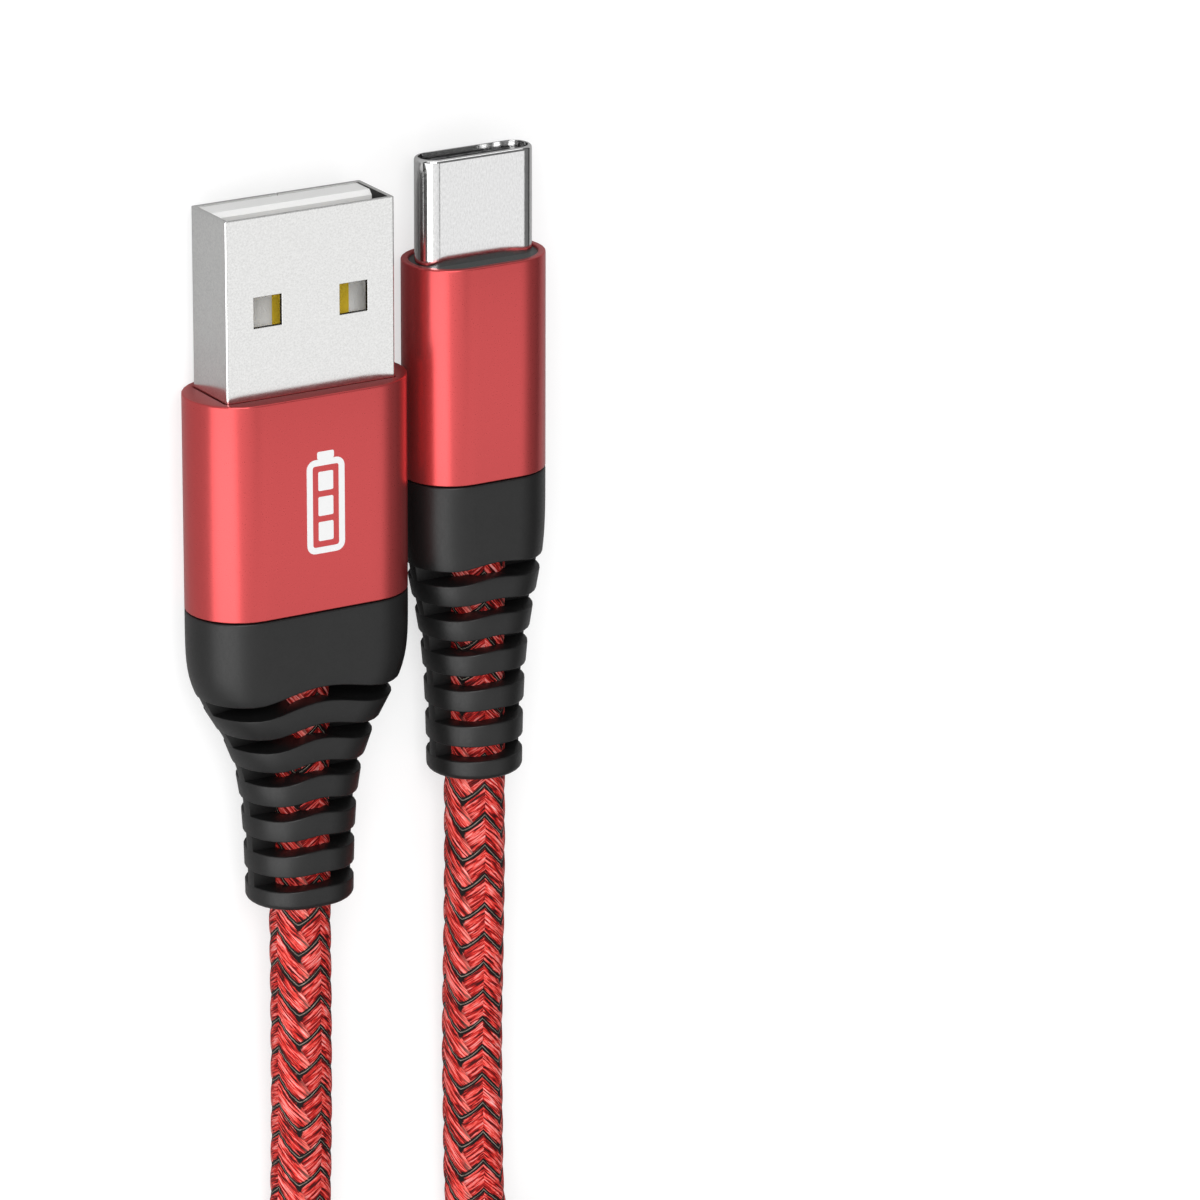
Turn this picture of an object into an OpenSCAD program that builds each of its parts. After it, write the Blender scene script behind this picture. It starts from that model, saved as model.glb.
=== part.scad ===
// Charging cable: a USB-A plug and a USB-C plug on one braided cord.
// The plugs lie flat with their tips towards +Y. Millimetres throughout.

/* [USB-A plug] */
// Width of the steel shell
a_shell_w = 12; // [12:0.05:12.1]
// Thickness of the steel shell
a_shell_t = 4.5; // [4.5:0.05:4.6]
// Shell length in front of the sleeve
a_exposed = 11.75; // [11.75:0.05:12.2]
// Width of the sleeve
a_sleeve_w = 15.2; // [14.6:0.1:16]
// Thickness of the sleeve
a_sleeve_t = 7; // [6.6:0.1:8]
// Length of the sleeve
a_sleeve_len = 14.2; // [13:0.1:18]

/* [USB-C plug] */
// Width of the deep-drawn shell
c_shell_w = 8.25; // [8.2:0.05:8.3]
// Thickness of the deep-drawn shell
c_shell_t = 2.4; // [2.35:0.05:2.45]
// Shell length in front of the sleeve
c_exposed = 6.8; // [6.6:0.1:7.2]
// Width of the sleeve
c_sleeve_w = 9.7; // [9.6:0.1:11]
// Thickness of the sleeve
c_sleeve_t = 6.2; // [5.6:0.1:6.5]
// Length of the sleeve
c_sleeve_len = 14.3; // [13:0.1:18]

/* [Strain reliefs] */
// Length of a strain relief behind its sleeve
relief_len = 20.25; // [19:0.25:24]
// Slots in each wide face
slot_count = 6; // [3:1:6]
// Width of a slot along the plug
slot_w = 1; // [0.7:0.1:1.2]
// Distance from one slot to the next
slot_pitch = 2.43; // [2.2:0.01:2.6]
// Thickness of the web that joins the ribs
web_t = 0.8; // [0.6:0.1:1.2]
// Rise of the first USB-A slot at its middle
a_arch = 0.7; // [0:0.1:0.9]
// Rise of the first USB-C slot at its middle
c_arch = 0.3; // [0:0.1:0.5]

/* [Cord] */
// Diameter of the braided cord
cord_d = 4; // [3.6:0.1:4]
// Straight length of each run in the hank
hank_run = 46; // [42:1:56]
// Half width of the hank, to the middle of its outermost turn
hank_r = 16.75; // [16.5:0.05:19]
// Sideways step from one turn of the hank to the next
turn_step = 5.1; // [5.05:0.05:5.3]
// How far the tie draws each side of the hank in
waist = 7.5; // [5:0.5:8]

/* [Layout] */
// Distance between the two plugs' centre lines
plug_spacing = 13.2; // [13.2:0.1:20]
// How far the USB-C sleeve sits ahead of the USB-A sleeve
c_ahead = 6.25; // [5:0.05:12]

/* [Hidden] */
$fn = 48;
eps = 0.01;

// Layout: the plugs' shared box is centred on the origin and stands on z = 0
a_front = a_sleeve_len + a_exposed;
c_front = c_sleeve_len + c_exposed;
a_x = (a_sleeve_w - c_sleeve_w) / 4 - plug_spacing / 2;
c_x = a_x + plug_spacing;
a_y = (relief_len - max(a_front, c_ahead + c_front)) / 2;
c_y = a_y + c_ahead;
a_z = a_sleeve_t / 2;
c_z = c_sleeve_t / 2;

// USB-A details, in the plug's own frame: z = 0 where sleeve and strain relief meet
a_wall = 0.3;
a_corner = 0.35;
a_shell_len = 18.75;
a_shell_rear = a_front - a_shell_len;
a_cavity = 8.75;
a_block_front = a_front - a_cavity;
tongue_t = 1.84;
tongue_face = a_shell_t / 2 - a_wall - tongue_t;
window = 2;
window_x = 3.05;
window_from_tip = 5.12;
a_sleeve_wall = 0.6;
a_front_wall = 0.8;
strip_w = 1;
strip_t = 0.25;
strip_bevel = 0.15;
tail_len = 2;
power_setback = 1.2;
data_setback = 2.2;

// USB-C details, in the same kind of frame
c_wall = 0.25;
c_sleeve_wall = 0.5;
c_shell_rear = c_front - 11.2;
c_housing_front = c_front - 0.5;
c_housing_rear = c_front - 10.1;
slot_opening_w = 6.95;
slot_opening_t = 0.8;
slot_opening_len = 5.6;
beam_w = 0.25;
beam_t = 0.15;
beam_pitch = 0.5;
beam_tail = 1.8;
latch_t = 0.2;
latch_w = 0.25;
latch_x = 3.5;
spring_w = 5.2;
spring_t = 0.12;
spring_len = 2.4;
finger_len = 1.2;
board_w = 6.6;
board_t = slot_opening_t;
board_rear = 4;
collar_len = 1.1;
collar_recess = 0.15;

// Shared by both plugs
spigot_len = 1.2;
wire_r = 0.45;
wire_spread = 0.55;
wire_in_cord = 3;
wire_bend = 0.2;
wire_sides = 8;
solder_len = 1.4;
end_round = 0.35;
relief_sides = 32;

// Each strain relief: half width and half thickness at the sleeve, the same at the cord end,
// depth at the middle of the taper, steepness of the taper, and arch of the first slot
a_relief = [a_sleeve_w / 2, a_sleeve_t / 2, 3.5, 3, 8.2, 4.7, a_arch];
c_relief = [c_sleeve_w / 2, c_sleeve_t / 2, 3.07, 3.05, 9.1, 4.2, c_arch];
last_slot = relief_len - 1.8;

// Cord: the routes from each plug to the hank, chosen by hand where the cord lies free
hank_x = (a_x + c_x) / 2;
hank_top = -78;
hank_y = hank_top - hank_run / 2;
layer_rise = cord_d + 0.45;
tie_t = 1;
tie_w = 10;
tie_gap = 0.3;
loop_rings = 24;
hank_sides = 6;
loops = 3.75;
run_sides = 8;
cord_r = cord_d / 2;
a_exit = [a_x, a_y - relief_len, a_z];
c_exit = [c_x, c_y - relief_len, c_z];
a_route = [
    [-5.2, -28, 3.5], [-5, -35, 3.1], [-4.7, -42, 2.4], [-4.9, -49, 2.05],
    [-7.2, -56, 2], [-11, -63, 2], [-14.2, -69, 2]
];
c_route = [
    [8, -22, 3.1], [8.15, -29, 2.7], [8.35, -36, 2.1], [8.45, -43, 2], [8.6, -49.5, 2.1],
    [9.8, -55.5, 4.3], [12.3, -61.5, 8.9], [14.9, -67.3, 13.2]
];

// Flat oval: a rectangle with fully round ends
module oval(w, t) {
    square([w - t, t], center = true);
    for (side = [-1, 1])
        translate([side * (w - t) / 2, 0]) circle(d = t);
}

module round_rect(w, t, r) {
    square([w - 2 * r, t], center = true);
    square([w, t - 2 * r], center = true);
    for (x = [-1, 1], y = [-1, 1])
        translate([x * (w / 2 - r), y * (t / 2 - r)]) circle(r = r);
}

// Lay a plug down: its own z axis becomes +Y and its front face turns up
module lay_a() translate([a_x, a_y, a_z]) rotate([-90, 0, 0]) children();
module lay_c() translate([c_x, c_y, c_z]) rotate([-90, 0, 0]) children();

// Closed skin through equal rings of points, with flat ends
module skin(rings) {
    n = len(rings[0]);
    m = len(rings);
    walls = [for (i = [0 : m - 2], j = [0 : n - 1]) let (k = (j + 1) % n)
        each [[i * n + j, i * n + k, (i + 1) * n + k], [i * n + j, (i + 1) * n + k, (i + 1) * n + j]]];
    ends = [for (j = [1 : n - 2])
        each [[0, j + 1, j], [(m - 1) * n, (m - 1) * n + j, (m - 1) * n + j + 1]]];
    polyhedron([for (ring = rings) each ring], concat(walls, ends));
}

function unit(v) = v / norm(v);

// Round ring of points about a path point, square to the path, with a corner straight down
function ring_at(point, along, r, sides, top) = let (
        across = unit(cross(along, top)),
        up = cross(across, along))
    [for (i = [0 : sides - 1]) let (angle = 360 * i / sides - 90)
        point + r * (cos(angle) * across + sin(angle) * up)];

// Tube along a path, its first and last rings square to the directions given
function tube_rings(path, first, last, r, sides, top = [0, 0, 1]) = [for (i = [0 : len(path) - 1])
    ring_at(path[i],
        i == 0 ? first : i == len(path) - 1 ? last : unit(path[i + 1] - path[i - 1]), r, sides, top)];

// ---- strain reliefs ----

// 1 at the sleeve, falling to 0 at the cord end in one smooth curve
function flare(relief, depth) = let (middle = relief[4], steepness = relief[5])
    1 / (1 + pow(depth / middle, steepness));
function relief_half_w(relief, depth) = let (wide = relief[0], narrow = relief[2])
    narrow + (wide - narrow) * flare(relief, depth);
function relief_half_t(relief, depth) = let (thick = relief[1], thin = relief[3])
    thin + (thick - thin) * flare(relief, depth);

// Flat oval of points; the two at its middle line stay on it
function oval_ring(half_w, half_t, z) = [for (i = [0 : relief_sides - 1])
    let (angle = 360 * i / relief_sides, side = abs(cos(angle)) < eps ? 0 : sign(cos(angle)))
    [side * (half_w - half_t) + half_t * cos(angle), half_t * sin(angle), z]];

relief_depths = concat([0, 3], [for (depth = [4 : 1 : relief_len - 3]) depth]);
end_steps = [0, 30, 60, 90];

function relief_rings(relief) = concat(
    [for (depth = relief_depths)
        oval_ring(relief_half_w(relief, depth), relief_half_t(relief, depth), -depth)],
    [for (angle = end_steps) let (inset = end_round * (1 - cos(angle)))
        oval_ring(
            relief_half_w(relief, relief_len) - inset,
            relief_half_t(relief, relief_len) - inset,
            -relief_len + end_round * (1 - sin(angle)))]);

// Height of an arched slot's middle line at x; the arch flattens towards the cord
function slot_line(relief, i, x) = let (
        depth = last_slot - slot_pitch * (slot_count - 1 - i),
        reach = 0.75 * relief_half_w(relief, depth),
        first_arch = relief[6],
        rise = first_arch * (1 - i / slot_count))
    -depth + (abs(x) < reach ? rise * pow(cos(90 * x / reach), 2) : 0);

module slot_cutter(relief, i) {
    reach = relief_half_w(relief, 0) + 1;
    across = [for (step = [-8 : 8]) reach * step / 8];
    band = concat(
        [for (x = across) [x, slot_line(relief, i, x) - slot_w / 2]],
        [for (step = [16 : -1 : 0]) [across[step], slot_line(relief, i, across[step]) + slot_w / 2]]);
    for (face = [0, 1])
        mirror([0, face, 0])
            translate([0, -web_t / 2, 0])
                rotate([90, 0, 0]) linear_extrude(relief_half_t(relief, 0) + 1) polygon(band);
}

module strain_relief(relief, spigot_w, spigot_t) {
    difference() {
        union() {
            skin(relief_rings(relief));
            translate([0, 0, -eps]) linear_extrude(spigot_len + eps) oval(spigot_w, spigot_t);
        }
        translate([0, 0, -relief_len - 1]) cylinder(r = cord_r, h = relief_len + spigot_len + 2);
        for (i = [0 : slot_count - 1]) slot_cutter(relief, i);
    }
}

// ---- wires and the ends of the cord ----

// Places of the four wires in the cord, in the order 5 V, data minus, data plus, ground
wire_seat = [[-1, -1], [-1, 1], [1, 1], [1, -1]] * wire_spread;

// One wire: straight in the cord, slanting to its pad, straight along the pad
module wire(i, pad) {
    seat = [wire_seat[i][0], wire_seat[i][1], spigot_len];
    path = [
        seat - [0, 0, wire_in_cord], seat + [0, 0, wire_bend], pad - [0, 0, wire_bend],
        pad + [0, 0, solder_len]];
    skin(tube_rings(path, [0, 0, 1], [0, 0, 1], wire_r, wire_sides, [0, 1, 0]));
}

module cord_end() {
    color("firebrick")
        difference() {
            translate([0, 0, -relief_len]) cylinder(r = cord_r, h = relief_len + spigot_len);
            for (seat = wire_seat)
                translate([seat[0], seat[1], spigot_len - wire_in_cord])
                    cylinder(r = wire_r, h = wire_in_cord + 1);
        }
}

// ---- USB-A plug ----

strip_x = [-3.5, -1, 1, 3.5];
strip_setback = [power_setback, data_setback, data_setback, power_setback];

// The rolled shell's seam on the under side: straight cuts and two dovetail keys
module seam() {
    cut = 0.08;
    key_h = 1.6;
    key_w = 1.4;
    keys = [a_front - 3.4, a_front - 9.4];
    translate([-cut / 2, a_shell_rear - 1]) square([cut, keys[1] - key_h / 2 - a_shell_rear + 1]);
    translate([-cut / 2, keys[1] + key_h / 2]) square([cut, keys[0] - keys[1] - key_h]);
    translate([-cut / 2, keys[0] + key_h / 2]) square([cut, a_front - keys[0]]);
    for (key = keys)
        translate([0, key])
            difference() {
                polygon([[0, -key_h / 2], [key_w, -0.7 * key_h], [key_w, 0.7 * key_h], [0, key_h / 2]]);
                polygon([
                    [-1, -0.4 * key_h], [0, cut - key_h / 2], [key_w - cut, cut - 0.7 * key_h],
                    [key_w - cut, 0.7 * key_h - cut], [0, key_h / 2 - cut], [-1, 0.4 * key_h]]);
            }
}

module usb_a_shell() {
    lay_a() color("gainsboro")
        difference() {
            translate([0, 0, a_shell_rear])
                linear_extrude(a_shell_len)
                    difference() {
                        round_rect(a_shell_w, a_shell_t, a_corner);
                        square([a_shell_w - 2 * a_wall, a_shell_t - 2 * a_wall], center = true);
                    }
            for (side = [-1, 1])
                translate([side * window_x, 0, a_front - window_from_tip - window / 2])
                    cube([window, a_shell_t + 1, window], center = true);
            translate([0, a_shell_t / 2 + 1, 0])
                rotate([90, 0, 0]) linear_extrude(1 + a_wall + eps) seam();
        }
}

module usb_a_contact(i) {
    color("gold")
        translate([strip_x[i] - strip_w / 2, tongue_face, 0])
            rotate([90, 0, 90])
                linear_extrude(strip_w)
                    polygon([
                        [0, a_shell_rear - tail_len], [strip_t, a_shell_rear - tail_len],
                        [strip_t, a_front - strip_setback[i]],
                        [strip_bevel, a_front - strip_setback[i]],
                        [0, a_front - strip_setback[i] - 2 * strip_bevel]]);
}

module usb_a_insulator() {
    inner_w = a_shell_w - 2 * a_wall;
    inner_t = a_shell_t - 2 * a_wall;
    tip = a_front - 0.1;
    lay_a() color("white")
        difference() {
            translate([-inner_w / 2, 0, 0])
                rotate([90, 0, 90])
                    linear_extrude(inner_w)
                        polygon([
                            [-inner_t / 2, a_shell_rear], [inner_t / 2, a_shell_rear],
                            [inner_t / 2, tip], [tongue_face + 0.3, tip], [tongue_face, tip - 0.3],
                            [tongue_face, a_block_front], [-inner_t / 2, a_block_front]]);
            for (i = [0 : 3]) usb_a_contact(i);
        }
}

a_pad_y = tongue_face - wire_r;
module usb_a_wire(i) wire(i, [strip_x[i], a_pad_y, a_shell_rear - tail_len]);

module usb_a_inner_mould() {
    lay_a() color("ivory")
        difference() {
            translate([0, 0, spigot_len])
                linear_extrude(a_sleeve_len - a_front_wall - spigot_len)
                    oval(a_sleeve_w - 2 * a_sleeve_wall, a_sleeve_t - 2 * a_sleeve_wall);
            translate([0, 0, a_shell_rear])
                linear_extrude(a_shell_len) round_rect(a_shell_w, a_shell_t, a_corner);
            for (i = [0 : 3]) {
                usb_a_contact(i);
                usb_a_wire(i);
            }
        }
}

module usb_a_sleeve() {
    lay_a() color("crimson")
        difference() {
            linear_extrude(a_sleeve_len) oval(a_sleeve_w, a_sleeve_t);
            translate([0, 0, -1])
                linear_extrude(a_sleeve_len - a_front_wall + 1)
                    oval(a_sleeve_w - 2 * a_sleeve_wall, a_sleeve_t - 2 * a_sleeve_wall);
            linear_extrude(a_sleeve_len + 1) round_rect(a_shell_w, a_shell_t, a_corner);
        }
}

module usb_a_strain_relief() {
    lay_a() color("dimgray")
        strain_relief(a_relief, a_sleeve_w - 2 * a_sleeve_wall, a_sleeve_t - 2 * a_sleeve_wall);
}

// ---- USB-C plug ----

// Places of the beams in a row of twelve, for a cable that carries power and plain data
upper_beams = [0, 3, 4, 5, 6, 8, 11];
lower_beams = [0, 3, 8, 11];

module usb_c_shell() {
    lay_c() color("gainsboro")
        translate([0, 0, c_shell_rear])
            linear_extrude(c_front - c_shell_rear)
                difference() {
                    oval(c_shell_w, c_shell_t);
                    oval(c_shell_w - 2 * c_wall, c_shell_t - 2 * c_wall);
                }
}

// A row of contact beams that lie flush in the wall of the slot and run out over the board
module beam_row(places, side) {
    color("gold")
        for (place = places)
            translate([(place - 5.5) * beam_pitch - beam_w / 2, 0, 0])
                mirror([0, side, 0])
                    rotate([90, 0, 90])
                        linear_extrude(beam_w)
                            polygon([
                                [-board_t / 2, c_housing_rear - beam_tail],
                                [-board_t / 2, c_housing_front - 1],
                                [-board_t / 2 - beam_t, c_housing_front - 1],
                                [-board_t / 2 - beam_t, c_housing_rear - beam_tail]]);
}

// U-shaped spring: a bar behind the slot, an arm down each side and a hook on each arm
module latch_spring() {
    arm_from = c_housing_rear + 0.4;
    arm_len = c_housing_front - 0.6 - arm_from;
    color("silver")
        rotate([90, 0, 0])
            translate([0, 0, -latch_t / 2])
                linear_extrude(latch_t) {
                    translate([-latch_x - latch_w, arm_from]) square([2 * (latch_x + latch_w), 0.9]);
                    for (side = [0, 1])
                        mirror([side, 0]) {
                            translate([latch_x, arm_from]) square([latch_w, arm_len]);
                            translate([0, arm_from + arm_len])
                                polygon([
                                    [latch_x + eps, -0.3], [latch_x - 0.3, -1], [latch_x - 0.3, -1.3],
                                    [latch_x + eps, -1.6]]);
                        }
                }
}

module ground_spring(side) {
    top = c_shell_t / 2 - c_wall;
    color("silver")
        mirror([0, side, 0])
            translate([0, -top + spring_t, 0])
                rotate([90, 0, 0])
                    linear_extrude(spring_t)
                        translate([-spring_w / 2, c_housing_front - spring_len])
                            difference() {
                                square([spring_w, spring_len]);
                                for (gap = [1 : 3])
                                    translate([gap * spring_w / 4 - 0.15, spring_len - finger_len])
                                        square([0.3, finger_len + 1]);
                            }
}

module usb_c_housing() {
    lay_c() color("#222222")
        difference() {
            translate([0, 0, c_housing_rear])
                linear_extrude(c_housing_front - c_housing_rear)
                    oval(c_shell_w - 2 * c_wall, c_shell_t - 2 * c_wall);
            translate([0, 0, c_housing_front - slot_opening_len / 2 + 0.5])
                cube([slot_opening_w, slot_opening_t, slot_opening_len + 1], center = true);
            beam_row(upper_beams, 0);
            beam_row(lower_beams, 1);
            latch_spring();
            ground_spring(0);
            ground_spring(1);
        }
}

module paddle_board() {
    color("darkgreen")
        translate([-board_w / 2, -board_t / 2, board_rear])
            cube([board_w, board_t, c_housing_rear - board_rear]);
}

// Small chip resistor with its two metal ends
module pullup_resistor() {
    color("black")
        translate([-0.5, -board_t / 2 - 0.35, board_rear + 3]) cube([1, 0.35, 0.5]);
}

c_pad_x = [-2.4, -0.8, 0.8, 2.4];
module usb_c_wire(i) wire(i, [c_pad_x[i], -board_t / 2 - wire_r, board_rear]);

module usb_c_inner_mould() {
    lay_c() color("ivory")
        difference() {
            translate([0, 0, spigot_len])
                linear_extrude(c_sleeve_len - collar_recess - collar_len - spigot_len)
                    oval(c_sleeve_w - 2 * c_sleeve_wall, c_sleeve_t - 2 * c_sleeve_wall);
            translate([0, 0, c_shell_rear]) linear_extrude(10) oval(c_shell_w, c_shell_t);
            beam_row(upper_beams, 0);
            beam_row(lower_beams, 1);
            paddle_board();
            pullup_resistor();
            for (i = [0 : 3]) usb_c_wire(i);
        }
}

module usb_c_collar() {
    lay_c() color("#4b4f4f")
        translate([0, 0, c_sleeve_len - collar_recess - collar_len])
            linear_extrude(collar_len)
                difference() {
                    oval(c_sleeve_w - 2 * c_sleeve_wall, c_sleeve_t - 2 * c_sleeve_wall);
                    oval(c_shell_w, c_shell_t);
                }
}

module usb_c_sleeve() {
    lay_c() color("crimson")
        linear_extrude(c_sleeve_len)
            difference() {
                oval(c_sleeve_w, c_sleeve_t);
                oval(c_sleeve_w - 2 * c_sleeve_wall, c_sleeve_t - 2 * c_sleeve_wall);
            }
}

module usb_c_strain_relief() {
    lay_c() color("dimgray")
        strain_relief(c_relief, c_sleeve_w - 2 * c_sleeve_wall, c_sleeve_t - 2 * c_sleeve_wall);
}

// ---- cord ----

// Turns wound in so far: a steady spiral in and out again, straight in from the first lead
function turns_in(u) = u < 0.125 ? u - 0.125 : abs((u + 0.875) % 2 - 1);

function hank_half(u) = hank_r - turn_step * turns_in(u);

// Layers climbed so far: each climb lies along a left-hand run
function layer(u) = u < 1 ? 0 : floor(u) - 1 + min(1, 4 * (u - floor(u)));

// How far the tie draws the hank in at a distance y from its middle
function drawn_in(y) = pow(cos(90 * 2 * y / hank_run), 2);

// One point of the hank: left run, far fold, right run and near fold, a quarter turn each
function hank_point(u) = let (
        quarter = 4 * (u - floor(u)),
        side = floor(quarter),
        part = quarter - side,
        half = hank_half(u),
        run_y = side == 0 ? hank_run * (0.5 - part) : side == 2 ? hank_run * (part - 0.5) : 0,
        angle = side == 1 ? 180 + 180 * part : 180 * part,
        flat = side == 0 ? [-half + waist * drawn_in(run_y), run_y]
            : side == 1 ? [half * cos(angle), -hank_run / 2 + half * sin(angle)]
            : side == 2 ? [half - waist * drawn_in(run_y), run_y]
            : [half * cos(angle), hank_run / 2 + half * sin(angle)],
        lift = side % 2 == 0 ? tie_t * drawn_in(run_y) : 0)
    [hank_x + flat[0], hank_y + flat[1], cord_r + layer_rise * layer(u) + lift];

hank_start = hank_point(0) + [0, cord_d, 0];
hank_end = hank_point(loops) + [0, cord_d, 0];
hank_path = concat(
    [hank_start], [for (i = [0 : loops * loop_rings]) hank_point(i / loop_rings)], [hank_end]);
toward_far = [0, -1, 0];
toward_plugs = [0, 1, 0];

// Least gap between stretches of the hank that lie at least half a turn apart
hank_gap = min([for (i = [0 : len(hank_path) - 2], j = [i + loop_rings / 2 : 1 : len(hank_path) - 1])
    norm(hank_path[i] - hank_path[j])]) - cord_d;

run_a_path = concat([a_exit], a_route, [hank_start]);
run_c_path = concat([hank_end], [for (i = [len(c_route) - 1 : -1 : 0]) c_route[i]], [c_exit]);

// Length from one plug's strain relief to the other's
cord_path = concat(run_a_path, hank_path, run_c_path);
cord_steps = [for (i = [1 : len(cord_path) - 1]) norm(cord_path[i] - cord_path[i - 1])];
cord_length = cord_steps * [for (step = cord_steps) 1];
echo(hank_gap = hank_gap, cord_length = cord_length);

module cord_run_a() {
    color("firebrick") skin(tube_rings(run_a_path, toward_far, toward_far, cord_r, run_sides));
}

module cord_hank() {
    color("firebrick") skin(tube_rings(hank_path, toward_far, toward_plugs, cord_r, hank_sides));
}

module cord_run_c() {
    color("firebrick") skin(tube_rings(run_c_path, toward_plugs, toward_plugs, cord_r, run_sides));
}

// Hook-and-loop tie: a flat band round the hank's waist
module cable_tie() {
    left = hank_half(0.125) - waist + cord_r + tie_gap;
    right = hank_half(0.625) - waist + cord_r + tie_gap;
    tall = 3 * layer_rise + cord_d + 2 * tie_gap;
    color("#222222")
        translate([hank_x + (right - left) / 2, hank_y + tie_w / 2, tie_t + tall / 2])
            rotate([90, 0, 0])
                linear_extrude(tie_w)
                    difference() {
                        round_rect(left + right + 2 * tie_t, tall + 2 * tie_t, 3.5 + tie_t);
                        round_rect(left + right, tall, 3.5);
                    }
}

usb_a_shell();
usb_a_insulator();
lay_a() usb_a_contact(0);  // usb_a_contact_vbus
lay_a() usb_a_contact(1);  // usb_a_contact_dminus
lay_a() usb_a_contact(2);  // usb_a_contact_dplus
lay_a() usb_a_contact(3);  // usb_a_contact_ground
lay_a() color("red") usb_a_wire(0);  // usb_a_wire_vbus
lay_a() color("white") usb_a_wire(1);  // usb_a_wire_dminus
lay_a() color("green") usb_a_wire(2);  // usb_a_wire_dplus
lay_a() color("black") usb_a_wire(3);  // usb_a_wire_ground
usb_a_inner_mould();
usb_a_sleeve();
usb_a_strain_relief();
lay_a() cord_end();  // usb_a_cord_end
usb_c_shell();
usb_c_housing();
lay_c() beam_row(upper_beams, 0);  // usb_c_contacts_upper
lay_c() beam_row(lower_beams, 1);  // usb_c_contacts_lower
lay_c() latch_spring();  // usb_c_latch_spring
lay_c() ground_spring(0);  // usb_c_ground_spring_upper
lay_c() ground_spring(1);  // usb_c_ground_spring_lower
lay_c() paddle_board();  // usb_c_paddle_board
lay_c() pullup_resistor();  // usb_c_pullup_resistor
lay_c() color("red") usb_c_wire(0);  // usb_c_wire_vbus
lay_c() color("white") usb_c_wire(1);  // usb_c_wire_dminus
lay_c() color("green") usb_c_wire(2);  // usb_c_wire_dplus
lay_c() color("black") usb_c_wire(3);  // usb_c_wire_ground
usb_c_inner_mould();
usb_c_collar();
usb_c_sleeve();
usb_c_strain_relief();
lay_c() cord_end();  // usb_c_cord_end
cord_run_a();
cord_hank();
cord_run_c();
cable_tie();
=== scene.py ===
import math

import bmesh
import bpy
from mathutils import Matrix, Vector


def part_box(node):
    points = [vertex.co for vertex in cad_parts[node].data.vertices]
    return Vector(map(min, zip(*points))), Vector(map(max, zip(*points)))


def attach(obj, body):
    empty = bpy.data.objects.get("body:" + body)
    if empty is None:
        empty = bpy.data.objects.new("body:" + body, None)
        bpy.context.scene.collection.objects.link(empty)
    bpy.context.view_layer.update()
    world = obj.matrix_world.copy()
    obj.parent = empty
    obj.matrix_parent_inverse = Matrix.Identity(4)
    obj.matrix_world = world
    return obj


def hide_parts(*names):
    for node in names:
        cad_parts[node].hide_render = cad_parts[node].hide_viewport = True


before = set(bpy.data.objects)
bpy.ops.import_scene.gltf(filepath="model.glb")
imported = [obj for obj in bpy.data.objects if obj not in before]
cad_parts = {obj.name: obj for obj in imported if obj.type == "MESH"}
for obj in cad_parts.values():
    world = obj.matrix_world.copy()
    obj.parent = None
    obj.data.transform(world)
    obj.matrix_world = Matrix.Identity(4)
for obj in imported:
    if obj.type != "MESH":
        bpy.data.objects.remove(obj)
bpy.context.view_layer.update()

mm = 0.001


# Nodes, meshes and pieces

def addNode(tree, kind, inputs=(), output=0, **settings):  # gives one output, or all of them for None
    made = tree.nodes.new(kind)
    for setting, value in settings.items():
        setattr(made, setting, value)
    for socket, value in inputs.items() if isinstance(inputs, dict) else enumerate(inputs):
        if isinstance(value, bpy.types.NodeSocket):
            tree.links.new(value, made.inputs[socket])
        else:
            made.inputs[socket].default_value = value
    if not len(made.outputs):
        return made
    return made.outputs if output is None else made.outputs[output]


def colourOf(sheetHex):  # sRGB hex to the linear colour that shaders take
    channels = [int(sheetHex[place:place + 2], 16) / 255 for place in (1, 3, 5)]
    return [c / 12.92 if c <= 0.04045 else ((c + 0.055) / 1.055) ** 2.4 for c in channels] + [1.0]


def newMaterial(name, **sockets):
    material = bpy.data.materials.new(name)
    material.use_nodes = True
    shader = material.node_tree.nodes["Principled BSDF"]
    for socket, value in sockets.items():
        shader.inputs[socket.replace("_", " ")].default_value = value
    return material, material.node_tree, shader


def newTree(name, **inputs):  # a geometry tree and the sockets of its named inputs
    tree = bpy.data.node_groups.new(name, "GeometryNodeTree")
    for kind, labels in inputs.items():
        for label in labels:
            tree.interface.new_socket(label, in_out="INPUT", socket_type="NodeSocket" + kind)
    tree.interface.new_socket("Geometry", in_out="OUTPUT", socket_type="NodeSocketGeometry")
    return tree, addNode(tree, "NodeGroupInput", output=None)


def closeTree(tree, geometry, material):
    geometry = addNode(tree, "GeometryNodeRealizeInstances", {"Geometry": geometry})
    geometry = addNode(tree, "GeometryNodeSetMaterial", {"Geometry": geometry, "Material": material})
    addNode(tree, "NodeGroupOutput", {"Geometry": geometry})
    return tree


def runTree(name, data, tree, sizes, material, spent):  # a plain mesh, with the spent attributes taken off
    carrier = addObject(name + "Carrier", data)
    modifier = carrier.modifiers.new("nodes", "NODES")
    modifier.node_group = tree
    sockets = {item.name: item for item in tree.interface.items_tree if item.in_out == "INPUT"}
    for label, value in sizes.items():
        modifier[sockets[label].identifier] = value
    bpy.context.view_layer.update()
    evaluated = carrier.evaluated_get(bpy.context.evaluated_depsgraph_get())
    mesh = bpy.data.meshes.new_from_object(evaluated)
    carrier.modifiers.remove(modifier)
    bpy.data.objects.remove(carrier)
    mesh.materials.clear()
    mesh.materials.append(material)
    for label in spent:
        if label in mesh.attributes:
            mesh.attributes.remove(mesh.attributes[label])
    return mesh


def addObject(name, data):
    made = bpy.data.objects.new(name, data)
    bpy.context.scene.collection.objects.link(made)
    return made


def makeMesh(name, points, faces):
    mesh = bpy.data.meshes.new(name)
    mesh.from_pydata([Vector(point) * mm for point in points], [], faces)
    mesh.validate()
    return mesh


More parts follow.
